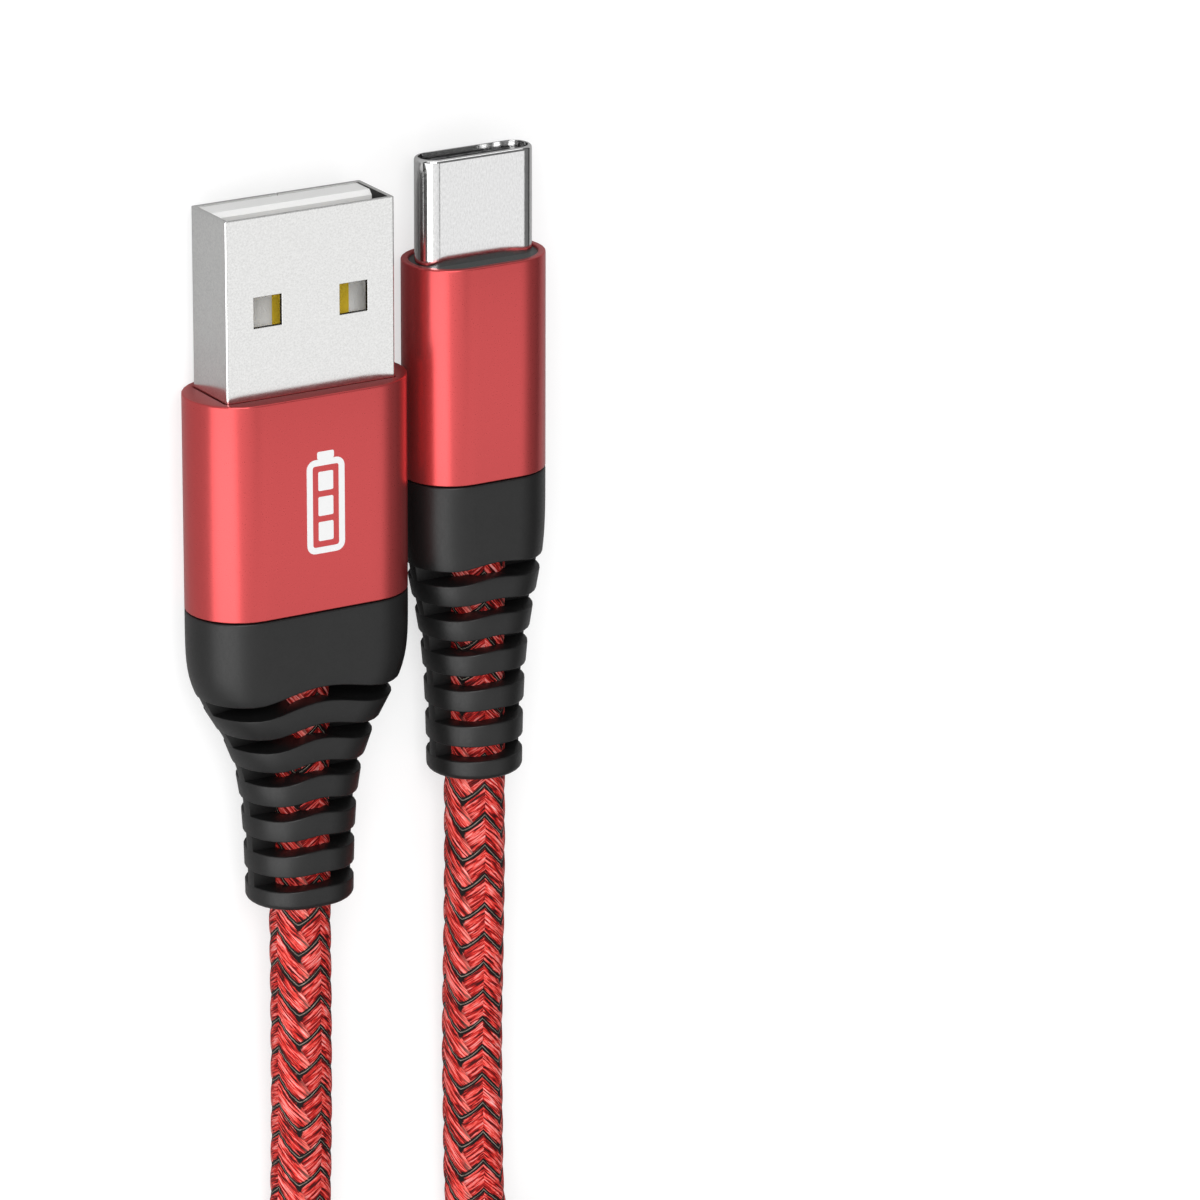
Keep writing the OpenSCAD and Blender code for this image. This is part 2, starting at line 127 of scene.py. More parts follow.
def makePiece(name, meshes, material, sharpAngle=30, flatRatio=None):
    joined = bmesh.new()
    for mesh in meshes:
        joined.from_mesh(mesh)
        bpy.data.meshes.remove(mesh)
    mesh = bpy.data.meshes.new(name)
    joined.to_mesh(mesh)
    joined.free()
    for face in mesh.polygons:
        face.use_smooth = True
    mesh.set_sharp_from_angle(angle=math.radians(sharpAngle))
    if flatRatio:
        keepFlat(mesh, flatRatio)
    mesh.materials.clear()
    mesh.materials.append(material)
    return addObject(name, mesh)


def keepFlat(mesh, ratio):  # a wide flat face keeps its own shading beside a narrow rounded one
    areas = {}
    for face in mesh.polygons:
        for key in face.edge_keys:
            areas.setdefault(key, []).append(face.area)
    for edge in mesh.edges:
        beside = areas.get(tuple(sorted(edge.vertices)), [1])
        if max(beside) > ratio * min(beside):
            edge.use_edge_sharp = True


def place(piece, slotName, *nodes):
    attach(piece, "root")
    if nodes:
        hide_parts(*nodes)


def outward(mesh, capped=False):
    work = bmesh.new()
    work.from_mesh(mesh)
    if capped:
        bmesh.ops.holes_fill(work, edges=[edge for edge in work.edges if edge.is_boundary])
    bmesh.ops.recalc_face_normals(work, faces=work.faces)
    work.to_mesh(mesh)
    work.free()
    return mesh


def loft(name, rings, looped=False):  # skin through equal rings, capped, or looped back to the first one
    count = len(rings[0])
    points = [point for ring in rings for point in ring]
    faces = []
    for row in range(len(rings) if looped else len(rings) - 1):
        below = (row + 1) % len(rings)
        for at in range(count):
            after = (at + 1) % count
            faces.append((row * count + at, row * count + after, below * count + after, below * count + at))
    if not looped:
        faces.append(tuple(range(count))[::-1])
        faces.append(tuple(len(points) - count + at for at in range(count)))
    return outward(makeMesh(name, points, faces))


def makeOvalSamples(count=16):  # angle and side of each point round an oval: two arcs and two flats
    samples = []
    for at in range(4 * count):
        u = at / count
        arcs = min(1, u) + min(1, max(0, u - 2))
        flats = min(1, max(0, u - 1)) - min(1, max(0, u - 3))
        samples.append((math.radians(180 * arcs - 90), 1 - 2 * flats))
    return samples


ovalSamples = makeOvalSamples()
smallestCorner = 0.02  # a ring's corners stay round, however far it is inset


def sectionRing(seat, along, halfWide, halfThick, corner, inset=0.0):  # across the plug at a place along it
    ring = []
    radius = max(corner - inset, smallestCorner)
    for angle, across in ovalSamples:
        side = 0 if abs(math.sin(angle)) < 1e-6 else math.copysign(1, math.sin(angle))
        x = across * (halfWide - inset - radius) + radius * math.cos(angle)
        z = side * (halfThick - inset - radius) + radius * math.sin(angle)
        ring.append((seat[0] + x, seat[1] + along, seat[2] + z))
    return ring


def edgeSteps(radius, count=4):  # inset and distance from the end, along a quarter-round edge
    quarter = [math.radians(90 * step / count) for step in range(count + 1)]
    return [(radius * (1 - math.cos(turn)), radius * (1 - math.sin(turn))) for turn in quarter]


def edgeRings(seat, end, section, radius, count=4, mouth=False):  # round a front end, or the mouth in it
    steps = edgeSteps(radius, count)
    if mouth:
        steps = [(-inset, drop) for inset, drop in reversed(steps)]
    return [sectionRing(seat, end - drop, *section, inset) for inset, drop in steps]


# Where the frame puts the two plugs

def plugSeat(sleeveNode):  # the middle of the seam between sleeve and strain relief, in millimetres
    low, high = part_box(sleeveNode)
    return ((low.x + high.x) / 2 / mm, low.y / mm, (low.z + high.z) / 2 / mm)


seatA = plugSeat("usb_a_sleeve")
seatC = plugSeat("usb_c_sleeve")
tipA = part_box("usb_a_shell")[1].y / mm

cameraSetup = {
    "swing": 30.939,  # degrees to the side that the wide plug is on
    "rise": 18.755,  # degrees towards the tips
    "roll": 0.218,
    "distance": 468.53,  # from the wide plug's tip
    "across": -19.15,  # the tip's place to the right of the view's centre line
    "up": 24.854,  # the tip's place above it
    "lens": 225.56,
    "sensor": 36,
    "clip": (0.01, 20),  # metres
}


def makeCamera(setup):
    swing, rise, roll = (math.radians(setup[key]) for key in ("swing", "rise", "roll"))
    back = Vector((-math.sin(swing) * math.cos(rise), math.sin(rise), math.cos(swing) * math.cos(rise)))
    right = Vector((math.cos(swing), 0, math.sin(swing)))
    up = back.cross(right)
    turnedRight = right * math.cos(roll) + up * math.sin(roll)
    turnedUp = up * math.cos(roll) - right * math.sin(roll)
    tip = Vector((seatA[0], tipA, seatA[2]))
    eye = tip - turnedRight * setup["across"] - turnedUp * setup["up"] + back * setup["distance"]
    camera = addObject("camera", bpy.data.cameras.new("camera"))
    camera.data.lens = setup["lens"]
    camera.data.sensor_width = setup["sensor"]
    camera.data.clip_start, camera.data.clip_end = setup["clip"]
    turn = Matrix((turnedRight, turnedUp, back)).transposed().to_4x4()
    camera.matrix_world = Matrix.Translation(eye * mm) @ turn
    bpy.context.scene.camera = camera


makeCamera(cameraSetup)
print("camera placed")


# The cord's route: out of each plug and into the hank

cordSize = {
    "diameter": 4.0,
    "insideRelief": 21.4,  # how far each end runs on inside its strain relief
    "hankTop": -78.0, "hankRun": 46.0,  # where the hank starts along the cable, and its straight runs
    "hankHalf": 16.75, "turnStep": 5.1,  # half its width, and how much each turn further in takes off that
    "waist": 7.5, "tieThick": 1.0,  # how far the tie draws the runs in, and lifts them
    "loops": 3.75, "layerRise": 4.45,
    "stepsPerLoop": 96, "smoothings": 6,
    "routeA": [(-5.2, -28, 3.5), (-5, -35, 3.1), (-4.7, -42, 2.4), (-4.9, -49, 2.05),
               (-7.2, -56, 2), (-11, -63, 2), (-14.2, -69, 2)],
    "routeC": [(8, -22, 3.1), (8.15, -29, 2.7), (8.35, -36, 2.1), (8.45, -43, 2), (8.6, -49.5, 2.1),
               (9.8, -55.5, 4.3), (12.3, -61.5, 8.9), (14.9, -67.3, 13.2)],
}


def turnsIn(u):  # turns wound in so far, in and out again, with the first eighth of a turn further out
    return u - 0.125 if u < 0.125 else abs((u + 0.875) % 2 - 1)


def hankPoint(u, size):  # left run, far fold, right run and near fold, a quarter turn each
    run = size["hankRun"]
    turn = math.floor(u + 1e-9)
    quarter = 4 * (u - turn)
    side = int(min(3, max(0, math.floor(quarter + 1e-9))))
    part = quarter - side
    half = size["hankHalf"] - size["turnStep"] * turnsIn(u)
    layer = 0 if u < 1 else turn - 1 + min(1, quarter)  # climbs over a turn's first quarter
    if side % 2:
        angle = math.radians(180 * (part + (side == 1)))
        x, y = half * math.cos(angle), (run / 2 if side == 3 else -run / 2) + half * math.sin(angle)
        lift = 0
    else:
        y = run * (0.5 - part) if side == 0 else run * (part - 0.5)
        drawn = math.cos(math.pi * y / run) ** 2
        x = (half - size["waist"] * drawn) * (-1 if side == 0 else 1)
        lift = size["tieThick"] * drawn
    middleX = (seatA[0] + seatC[0]) / 2
    middleY = size["hankTop"] - run / 2
    return Vector((middleX + x, middleY + y, size["diameter"] / 2 + size["layerRise"] * layer + lift))


def throughPoints(points, perSpan=12):  # one smooth line through the route's points
    ends = [2 * points[0] - points[1]] + points + [2 * points[-1] - points[-2]]
    line = []
    for a, b, c, d in zip(ends, ends[1:], ends[2:], ends[3:]):
        for step in range(perSpan):
            t = step / perSpan
            line.append(0.5 * (2 * b + (c - a) * t + (2 * a - 5 * b + 4 * c - d) * t * t
                               + (3 * b - a - 3 * c + d) * t ** 3))
    return line + [points[-1]]


def evenly(points, gaps):  # points along a line, spaced as gaps(distance, whole length) says
    lengths = [0.0]
    for a, b in zip(points, points[1:]):
        lengths.append(lengths[-1] + (b - a).length)
    line, at, segment = [points[0].copy()], 0.0, 0
    while True:
        at += gaps(at, lengths[-1])
        if at >= lengths[-1] - 0.05:  # no sliver of a gap before the last point
            return line + [points[-1].copy()]
        while lengths[segment + 1] < at:
            segment += 1
        share = (at - lengths[segment]) / (lengths[segment + 1] - lengths[segment])
        line.append(points[segment].lerp(points[segment + 1], share))


def cordLine(size):
    reliefEnds = [Vector((seat[0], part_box(node)[0].y / mm, seat[2]))
                  for seat, node in ((seatA, "usb_a_strain_relief"), (seatC, "usb_c_strain_relief"))]
    inward = Vector((0, size["insideRelief"], 0))
    straight = Vector((0, size["diameter"], 0))
    perLoop = size["stepsPerLoop"]
    hank = [hankPoint(step / perLoop, size) for step in range(int(perLoop * size["loops"]) + 1)]
    leadA = [reliefEnds[0] + inward, reliefEnds[0]] + [Vector(p) for p in size["routeA"]]
    leadC = [Vector(p) for p in reversed(size["routeC"])] + [reliefEnds[1], reliefEnds[1] + inward]
    points = throughPoints(leadA + [hank[0] + straight, hank[0]])[:-1] + hank
    points += throughPoints([hank[-1], hank[-1] + straight] + leadC)[1:]
    line = evenly(points, lambda at, whole: 1.0)
    for smoothing in range(size["smoothings"]):
        line = [line[0]] + [(a + 2 * b + c) / 4 for a, b, c in zip(line, line[1:], line[2:])] + [line[-1]]
    for point in line:  # just clear of the table
        point.z = max(point.z, size["diameter"] / 2 + 0.02)
    return line, reliefEnds


centreLine, reliefEnds = cordLine(cordSize)


# The braid, counted in rows along the cord and zigzags round it

braid = {
    "zigzags": 4,  # round the cord
    "rowPitch": 2.07,
    "rowDepth": 1.35,  # how far each zigzag reaches along the cord
    "rowBow": 1.25,  # 1 would make the zigzags straight
    "rowClimb": 1.0,  # rows that the winding climbs in one turn round the cord, a whole number
    "yarnRise": 0.13,  # how far a bundle of yarn stands out of its groove
    "sides": 32,
    "closeRings": 0.25, "wideRings": 0.4,  # ring spacing beside the plugs and in the hank
    "closeReach": 75,
    "turnA": 77, "turnC": 81,  # where the zigzags' far points lie round the cord, from straight up
    "phaseC": -0.17,  # rows that the second half is moved along
}


def zigzagPlace(tree, turns, zigzags):  # which zigzag, place across it, and distance from its low point
    scaled = addNode(tree, "ShaderNodeMath", [turns, zigzags], operation="MULTIPLY")
    inZigzag = addNode(tree, "ShaderNodeMath", [scaled], operation="FRACT")
    fromPoint = addNode(tree, "ShaderNodeMath", [inZigzag, 2.0, -1.0], operation="MULTIPLY_ADD")
    aside = addNode(tree, "ShaderNodeMath", [fromPoint], operation="ABSOLUTE")
    bowed = addNode(tree, "ShaderNodeMath", [aside, braid["rowBow"]], operation="POWER")
    return scaled, inZigzag, aside, bowed


def makeBraidTree(material):
    tree, given = newTree(
        "braidedTube", Geometry=["Geometry"], Int=["Zigzags", "Sides"],
        Float=["Cord radius", "Row pitch", "Row depth", "Row climb", "Yarn rise", "Far phase"])
    along = addNode(tree, "GeometryNodeSplineParameter", output="Length")
    whole = addNode(tree, "GeometryNodeCurveLength", [given["Geometry"]])
    curve, centre = given["Geometry"], addNode(tree, "GeometryNodeInputPosition")
    for name, value, kind in (("along", along, "FLOAT"), ("centre", centre, "FLOAT_VECTOR")):
        curve = addNode(tree, "GeometryNodeStoreNamedAttribute",
                        {"Geometry": curve, "Name": name, "Value": value}, data_type=kind)
    curve = addNode(tree, "GeometryNodeSetCurveNormal", {"Curve": curve}, mode="Z_UP")
    points = addNode(tree, "ShaderNodeMath", [given["Sides"], 1.0], operation="ADD")
    profile = addNode(tree, "GeometryNodeCurveArc", {"Resolution": points, "Radius": given["Cord radius"],
                                                     "Sweep Angle": 2 * math.pi}, mode="RADIUS")
    around = addNode(tree, "GeometryNodeSplineParameter", output="Factor")
    profile = addNode(tree, "GeometryNodeStoreNamedAttribute",
                      {"Geometry": profile, "Name": "around", "Value": around}, data_type="FLOAT")
    tube = addNode(tree, "GeometryNodeCurveToMesh", {"Curve": curve, "Profile Curve": profile})

    # Rows are counted from the nearer plug, so both ends show the same braid
    along, around, centre = [
        addNode(tree, "GeometryNodeInputNamedAttribute", {"Name": name}, data_type=kind)
        for name, kind in (("along", "FLOAT"), ("around", "FLOAT"), ("centre", "FLOAT_VECTOR"))]
    rest = addNode(tree, "ShaderNodeMath", [whole, along], operation="SUBTRACT")
    nearer = addNode(tree, "ShaderNodeMath", [along, rest], operation="MINIMUM")
    rows = addNode(tree, "ShaderNodeMath", [nearer, given["Row pitch"]], operation="DIVIDE")
    farHalf = addNode(tree, "ShaderNodeMath", [along, rest], operation="GREATER_THAN")
    otherWay = addNode(tree, "ShaderNodeMath", [1.0, around], operation="SUBTRACT")
    turns = addNode(tree, "ShaderNodeMix", {"Factor": farHalf, "A": around, "B": otherWay}, data_type="FLOAT")
    rows = addNode(tree, "ShaderNodeMath", [turns, given["Row climb"], rows], operation="MULTIPLY_ADD")
    rows = addNode(tree, "ShaderNodeMath", [farHalf, given["Far phase"], rows], operation="MULTIPLY_ADD")
    uv = addNode(tree, "ShaderNodeCombineXYZ", [turns, rows])
    tube = addNode(tree, "GeometryNodeStoreNamedAttribute",
                   {"Geometry": tube, "Name": "UVMap", "Value": uv}, data_type="FLOAT2", domain="CORNER")

    # A row's place under its zigzag, 0 at one dark thread and 1 at the next, sinks the tube by the threads
    bowed = zigzagPlace(tree, turns, given["Zigzags"])[3]
    sunk = addNode(tree, "ShaderNodeMath", [1.0, bowed], operation="SUBTRACT")
    depth = addNode(tree, "ShaderNodeMath", [given["Row depth"], given["Row pitch"]], operation="DIVIDE")
    shift = addNode(tree, "ShaderNodeMath", [sunk, depth], operation="MULTIPLY")
    level = addNode(tree, "ShaderNodeMath", [rows, shift], operation="SUBTRACT")
    inRow = addNode(tree, "ShaderNodeMath", [level], operation="FRACT")
    fromMiddle = addNode(tree, "ShaderNodeMath", [inRow, 2.0, -1.0], operation="MULTIPLY_ADD")
    offMiddle = addNode(tree, "ShaderNodeMath", [fromMiddle], operation="ABSOLUTE")
    fallen = addNode(tree, "ShaderNodeMath", [offMiddle, 3.0], operation="POWER")
    rise = addNode(tree, "ShaderNodeMath", [fallen, given["Yarn rise"]], operation="MULTIPLY")
    inwards = addNode(tree, "ShaderNodeMath", [rise, -1.0], operation="MULTIPLY")
    outwards = addNode(tree, "ShaderNodeVectorMath",
                       [addNode(tree, "GeometryNodeInputPosition"), centre], operation="SUBTRACT")
    radial = addNode(tree, "ShaderNodeVectorMath", [outwards], operation="NORMALIZE")
    offset = addNode(tree, "ShaderNodeVectorMath", {0: radial, "Scale": inwards}, operation="SCALE")
    tube = addNode(tree, "GeometryNodeSetPosition", {"Geometry": tube, "Offset": offset})
    tube = addNode(tree, "GeometryNodeMergeByDistance", {"Geometry": tube, "Distance": 2e-6})
    tube = addNode(tree, "GeometryNodeSetShadeSmooth", {"Geometry": tube})
    return closeTree(tree, tube, material)


yarn = {  # in a group of four, the first two values of a pattern become the last two
    "lean": 0.27,  # how far the left bundle's end slants over the right one's start
    "perMillimetre": 5.9, "alongBundle": 2.6,  # filaments across a bundle, and how often they change along it
    "rowSeed": 7.31, "sideSeed": 3.7,  # give each bundle filaments of its own
    "tones": ((0.4, "#2A0304"), (0.605, "#FFBDB2"),  # darkest and lightest filaments, then those between: partly their own random tone, partly painted shade (near-black) and painted glints (pale pink)
              (0.457, "#8A0C0E"), (0.505, "#CC231D"), (0.555, "#EC5248")),
    "paintedSheen": 0.1,  # how much a bundle's colour is painted lighter from its threads to its middle: painted sheen, with painted shade by the threads
    "fray": 0.14,
    "threadEdge": (0.08, 0.11, 1.0, 0.0), "coreEdge": (0.008, 0.027, 1.0, 0.0),  # shares of the row pitch
    "coreWear": (0.38, 0.56, 0.25, 1.0),
    "knotWide": 0.19, "knotLong": 0.24, "knotFray": 1.6, "knotEdge": (1.35, 1.85, 1.0, 0.0),
    "paintedTuckShade": (-0.1, -0.005, 0.0, 0.55), "leastPaintedShade": 0.2,  # painted shade on the right bundle, deepest where it dives under, and a little all over it
    "paintedEndGlint": (0.14, 0.02, 0.0, 0.8),  # painted highlight on the left one's end
    "paintedGlintTone": "#FFA698", "paintedShadeTone": "#6E0A0C", "threadTone": "#120C0C", "coreTone": "#B2A698",
    "relief": 0.16, "reliefShares": (0.5, -0.5, -0.7, 0.5),  # of filaments, painted tuck shade, thread and core
}


def makeBraidedYarn(name, size):
    # Braided polyester yarn: lustrous red bundles laid in chevrons, their lustre a painted sheen
    # along their middles with painted shade by the threads, each row bound by a thin dark thread with a pale
    # core.
    # Bundles are 2.1 mm apart, and their filaments, too fine to show, are drawn 0.17 mm wide.
    material, tree, shader = newMaterial(name, Roughness=0.6, Specular_IOR_Level=0.16, Sheen_Weight=0.02,
                                         Sheen_Roughness=0.4)
    uv = addNode(tree, "ShaderNodeUVMap", uv_map="UVMap")
    turns, rows = addNode(tree, "ShaderNodeSeparateXYZ", [uv], output=None)[:2]
    scaled, fromRight, aside, bowed = zigzagPlace(tree, turns, float(braid["zigzags"]))
    inZigzag = addNode(tree, "ShaderNodeMath", [1.0, fromRight], operation="SUBTRACT")
    zigzag = addNode(tree, "ShaderNodeMath", [scaled], operation="FLOOR")
    depth = braid["rowDepth"] / braid["rowPitch"]
    shift = addNode(tree, "ShaderNodeMath", [bowed, -depth, depth], operation="MULTIPLY_ADD")
    level = addNode(tree, "ShaderNodeMath", [rows, shift], operation="SUBTRACT")
    row = addNode(tree, "ShaderNodeMath", [level], operation="FLOOR")
    inRow = addNode(tree, "ShaderNodeMath", [level], operation="FRACT")

    # The left bundle runs on over the zigzag's low point and covers the right one's start
    edge = addNode(tree, "ShaderNodeMath", [inRow, size["lean"], 0.5], operation="MULTIPLY_ADD")
    overlap = addNode(tree, "ShaderNodeMath", [edge, inZigzag], operation="SUBTRACT")
    onLeft = addNode(tree, "ShaderNodeMath", [overlap, 0.0], operation="GREATER_THAN")
    slope = addNode(tree, "ShaderNodeMath", [onLeft, 2.0, -1.0], operation="MULTIPLY_ADD")
    slant = addNode(tree, "ShaderNodeMath", [slope, inZigzag], operation="MULTIPLY")
    across = addNode(tree, "ShaderNodeMath", [slant, -2 * depth, rows], operation="MULTIPLY_ADD")
    finely = addNode(tree, "ShaderNodeMath", [across, braid["rowPitch"] * size["perMillimetre"]],
                     operation="MULTIPLY")
    along = addNode(tree, "ShaderNodeMath", [inZigzag, size["alongBundle"]], operation="MULTIPLY")
    bundle = addNode(tree, "ShaderNodeMath", [row, size["rowSeed"], zigzag], operation="MULTIPLY_ADD")
    bundle = addNode(tree, "ShaderNodeMath", [onLeft, size["sideSeed"], bundle], operation="MULTIPLY_ADD")
    filaments = addNode(tree, "ShaderNodeCombineXYZ", [finely, along, bundle])
    streaks = addNode(tree, "ShaderNodeTexNoise", {"Vector": filaments, "Scale": 1.0, "Detail": 3.2,
                                                   "Roughness": 0.62, "Distortion": 0.5})

    # A bundle's colour is lightened along its middle, a painted sheen, and darkened towards its threads, a
    # painted shade
    centred = addNode(tree, "ShaderNodeMath", [inRow, 0.5], operation="SUBTRACT")
    centred = addNode(tree, "ShaderNodeMath", [centred], operation="ABSOLUTE")
    toThread = addNode(tree, "ShaderNodeMath", [centred, -1.0, 0.5], operation="MULTIPLY_ADD")
    shine = size["paintedSheen"]
    paintedSheen = addNode(tree, "ShaderNodeMath", [toThread, shine, -shine / 4], operation="MULTIPLY_ADD")
    paintedSheen = addNode(tree, "ShaderNodeMath", [streaks, paintedSheen], operation="ADD")
    # Filament tones, with painted glints at the pale end of the ramp and painted shade at the dark end
    colour = addNode(tree, "ShaderNodeValToRGB", [paintedSheen])
    ramp = colour.node.color_ramp
    stops = list(ramp.elements) + [ramp.elements.new(0.5) for tone in size["tones"][2:]]
    for stop, (at, tone) in zip(stops, size["tones"]):
        stop.position, stop.color = at, colourOf(tone)

    # Dark binding thread along each zigzag, with a knot at its low point
    fray = size["fray"]
    frayed = addNode(tree, "ShaderNodeMath", [streaks, fray, -fray / 2], operation="MULTIPLY_ADD")
    frayed = addNode(tree, "ShaderNodeMath", [toThread, frayed], operation="ADD")
    squares = []  # the knot's edge is an ellipse
    for reach, span in ((aside, size["knotWide"]), (inRow, size["knotLong"])):
        away = addNode(tree, "ShaderNodeMath", [reach, span], operation="DIVIDE")
        squares.append(addNode(tree, "ShaderNodeMath", [away, 2.0], operation="POWER"))
    offKnot = addNode(tree, "ShaderNodeMath", squares, operation="ADD")
    offKnot = addNode(tree, "ShaderNodeMath", [streaks, size["knotFray"], offKnot], operation="MULTIPLY_ADD")
    dark, core, worn, knot, paintedShadeShare, paintedEndGlint = [
        addNode(tree, "ShaderNodeMapRange", dict(zip(("Value", "From Min", "From Max", "To Min", "To Max"),
                                                     (value, *size[edgeName]))))
        for value, edgeName in ((frayed, "threadEdge"), (toThread, "coreEdge"), (streaks, "coreWear"),
                                (offKnot, "knotEdge"), (overlap, "paintedTuckShade"), (overlap, "paintedEndGlint"))]
    core = addNode(tree, "ShaderNodeMath", [core, worn], operation="MULTIPLY")
    bound = addNode(tree, "ShaderNodeMath", [dark, knot], operation="MAXIMUM")
    # Painted shade on the right bundle: strongest where it dives under the left one, and never less than a
    # fixed share over the whole right bundle
    paintedShadeShare = addNode(tree, "ShaderNodeMath", [paintedShadeShare, size["leastPaintedShade"]], operation="MAXIMUM")
    onRight = addNode(tree, "ShaderNodeMath", [1.0, onLeft], operation="SUBTRACT")
    paintedShadeShare = addNode(tree, "ShaderNodeMath", [paintedShadeShare, onRight], operation="MULTIPLY")
    # Painted highlight on the end of the left bundle, broken up by its filaments
    for share in (onLeft, streaks, inRow):
        paintedEndGlint = addNode(tree, "ShaderNodeMath", [paintedEndGlint, share], operation="MULTIPLY")
    for share, tone in ((paintedEndGlint, "paintedGlintTone"), (paintedShadeShare, "paintedShadeTone"), (bound, "threadTone"),
                        (core, "coreTone")):
        colour = addNode(tree, "ShaderNodeMix", {"Factor": share, "A": colour, "B": colourOf(size[tone])},
                         output="Result", data_type="RGBA")
    tree.links.new(colour, shader.inputs["Base Color"])
    height = 0.0
    for pattern, share in zip((streaks, paintedShadeShare, bound, core), size["reliefShares"]):
        height = addNode(tree, "ShaderNodeMath", [pattern, share, height], operation="MULTIPLY_ADD")
    bump = addNode(tree, "ShaderNodeBump", {"Strength": 1.0, "Distance": size["relief"] * mm,
                                            "Height": height})
    tree.links.new(bump, shader.inputs["Normal"])
    return material


def makeCord(size, material):
    line = evenly(centreLine, lambda at, whole: size["closeRings"]
                  if min(at, whole - at) < size["closeReach"] else size["wideRings"])
    curve = bpy.data.curves.new("cordLine", "CURVE")
    curve.dimensions = "3D"
    spline = curve.splines.new("POLY")
    spline.points.add(len(line) - 1)
    for count, (point, spot) in enumerate(zip(line, spline.points)):
        spot.co = (*(point * mm), 1)
        spot.tilt = math.radians(size["turnA"] + (size["turnC"] - size["turnA"]) * count / len(line))
    mesh = runTree("braidedCord", curve, makeBraidTree(material), {
        "Cord radius": cordSize["diameter"] / 2 * mm, "Row pitch": size["rowPitch"] * mm,
        "Row depth": size["rowDepth"] * mm, "Row climb": size["rowClimb"], "Yarn rise": size["yarnRise"] * mm,
        "Far phase": size["phaseC"], "Zigzags": size["zigzags"], "Sides": size["sides"]},
        material, ("along", "around", "centre"))
    cord = addObject("braidedCord", outward(mesh, capped=True))
    place(cord, "red_braid", "cord_run_a", "cord_hank", "cord_run_c", "usb_a_cord_end", "usb_c_cord_end")
    return cord


cordPiece = makeCord(braid, makeBraidedYarn("braidedPolyesterYarn", yarn))
print("cord braided", len(cordPiece.data.polygons), "faces")


# Finishes of the plugs

def addGrain(tree, shader, grain, rough, spread, depth, stretch=(1, 1, 1)):
    # Fine relief and gloss variation, with grain and depth in millimetres
    where = addNode(tree, "ShaderNodeTexCoord", output="Object")
    scaled = addNode(tree, "ShaderNodeMapping", {"Vector": where, "Scale": stretch})
    noise = addNode(tree, "ShaderNodeTexNoise", {"Vector": scaled, "Scale": 1 / (grain * mm), "Detail": 3.0,
                                                 "Roughness": 0.6})
    gloss = addNode(tree, "ShaderNodeMapRange", {"Value": noise, "From Min": 0.3, "From Max": 0.7,
                                                 "To Min": rough - spread, "To Max": rough + spread})
    tree.links.new(gloss, shader.inputs["Roughness"])
    bump = addNode(tree, "ShaderNodeBump", {"Strength": 1.0, "Distance": depth * mm, "Height": noise})
    tree.links.new(bump, shader.inputs["Normal"])
    return noise


def addTint(tree, shader, noise, first, second):  # a slight shift of colour that follows the grain
    tint = addNode(tree, "ShaderNodeMix", {"Factor": noise, "A": colourOf(first), "B": colourOf(second)},
                   output="Result", data_type="RGBA")
    tree.links.new(tint, shader.inputs["Base Color"])


metal = {"Metallic": 1.0}
grainedFinishes = {
    # Red anodised aluminium, bead blasted: the dye colours the reflections, and the blasting
    # spreads them into soft bands along the sleeve. The dyed layer scatters a little light
    # too, so shaded sides stay red. Grit leaves dimples 0.08 mm apart.
    "anodisedAluminiumRed": {"shader": {"Metallic": 0.78}, "grain": 0.08, "rough": 0.3, "spread": 0.03,
                             "depth": 0.0012, "tones": ("#C0494A", "#CA5051")},
    # Bright nickel over rolled steel strip: pale, faintly warm, with the strip's fine matt grain.
    # Grains are 0.13 mm and shallow, so reflections stay whole but lose their edge.
    "nickelPlatedSteelStrip": {"shader": metal, "grain": 0.13, "rough": 0.19, "spread": 0.03,
                               "depth": 0.0007, "tones": ("#C2C2C1", "#F2F2F1")},
    # Punched edge of the steel strip, round the windows and on the inner sides: dull steel painted
    # near-black as painted shade, so it reads as a dark line.
    "paintedShadeSteelEdge": {"shader": metal, "grain": 0.05, "rough": 0.55, "spread": 0.05,
                         "depth": 0.001, "tones": ("#2A2A2A", "#3C3C3C")},
    # Deep-drawn stainless steel, tumbled bright: sharp dark and light lines along its rounded
    # sides. The tumbling leaves faint mottling of 0.1 mm, drawn out a little along the shell.
    "drawnStainlessSteel": {"shader": metal, "grain": 0.1, "rough": 0.13, "spread": 0.03,
                            "depth": 0.0004, "stretch": (1, 0.4, 1), "tones": ("#BEBEBE", "#EFEFEF")},
    # Rolled stainless spring strip: cool grey, with rolling lines 0.04 mm apart.
    "rolledSpringSteel": {"shader": metal, "grain": 0.04, "rough": 0.28, "spread": 0.06,
                          "depth": 0.0006, "stretch": (1, 0.1, 1), "tones": ("#B4B6B8", "#C6C8CA")},
    # Gold flash over copper alloy: rich yellow. Its fine matt plating scatters most of the light,
    # so it stays bright deep inside the plug. The stamping's grain is 0.06 mm.
    "goldFlashedCopperAlloy": {"shader": {"Metallic": 0.15}, "grain": 0.06, "rough": 0.45, "spread": 0.05,
                               "depth": 0.0008, "stretch": (1, 0.2, 1), "tones": ("#FACE2C", "#FFE244")},
    # Moulded thermoplastic elastomer: near-black with a soft satin face. The mould's spark
    # texture is 0.15 mm, and the rubber's bloom greys it a little in patches of 2 mm.
    "mouldedElastomerBlack": {"shader": {"IOR": 1.5, "Specular_IOR_Level": 0.42}, "grain": 0.15,
                              "rough": 0.42, "spread": 0.06, "depth": 0.003, "patch": 2.0,
                              "tones": ("#101010", "#161616")},
    # Screen-printed white ink, cured matt: opaque, with pinholes 0.1 mm apart in its gloss.
    "screenPrintedWhiteInk": {"shader": {"IOR": 1.5}, "grain": 0.1, "rough": 0.5, "spread": 0.06,
                              "depth": 0.001, "tones": ("#DCDCDC", "#E6E6E6")},
}
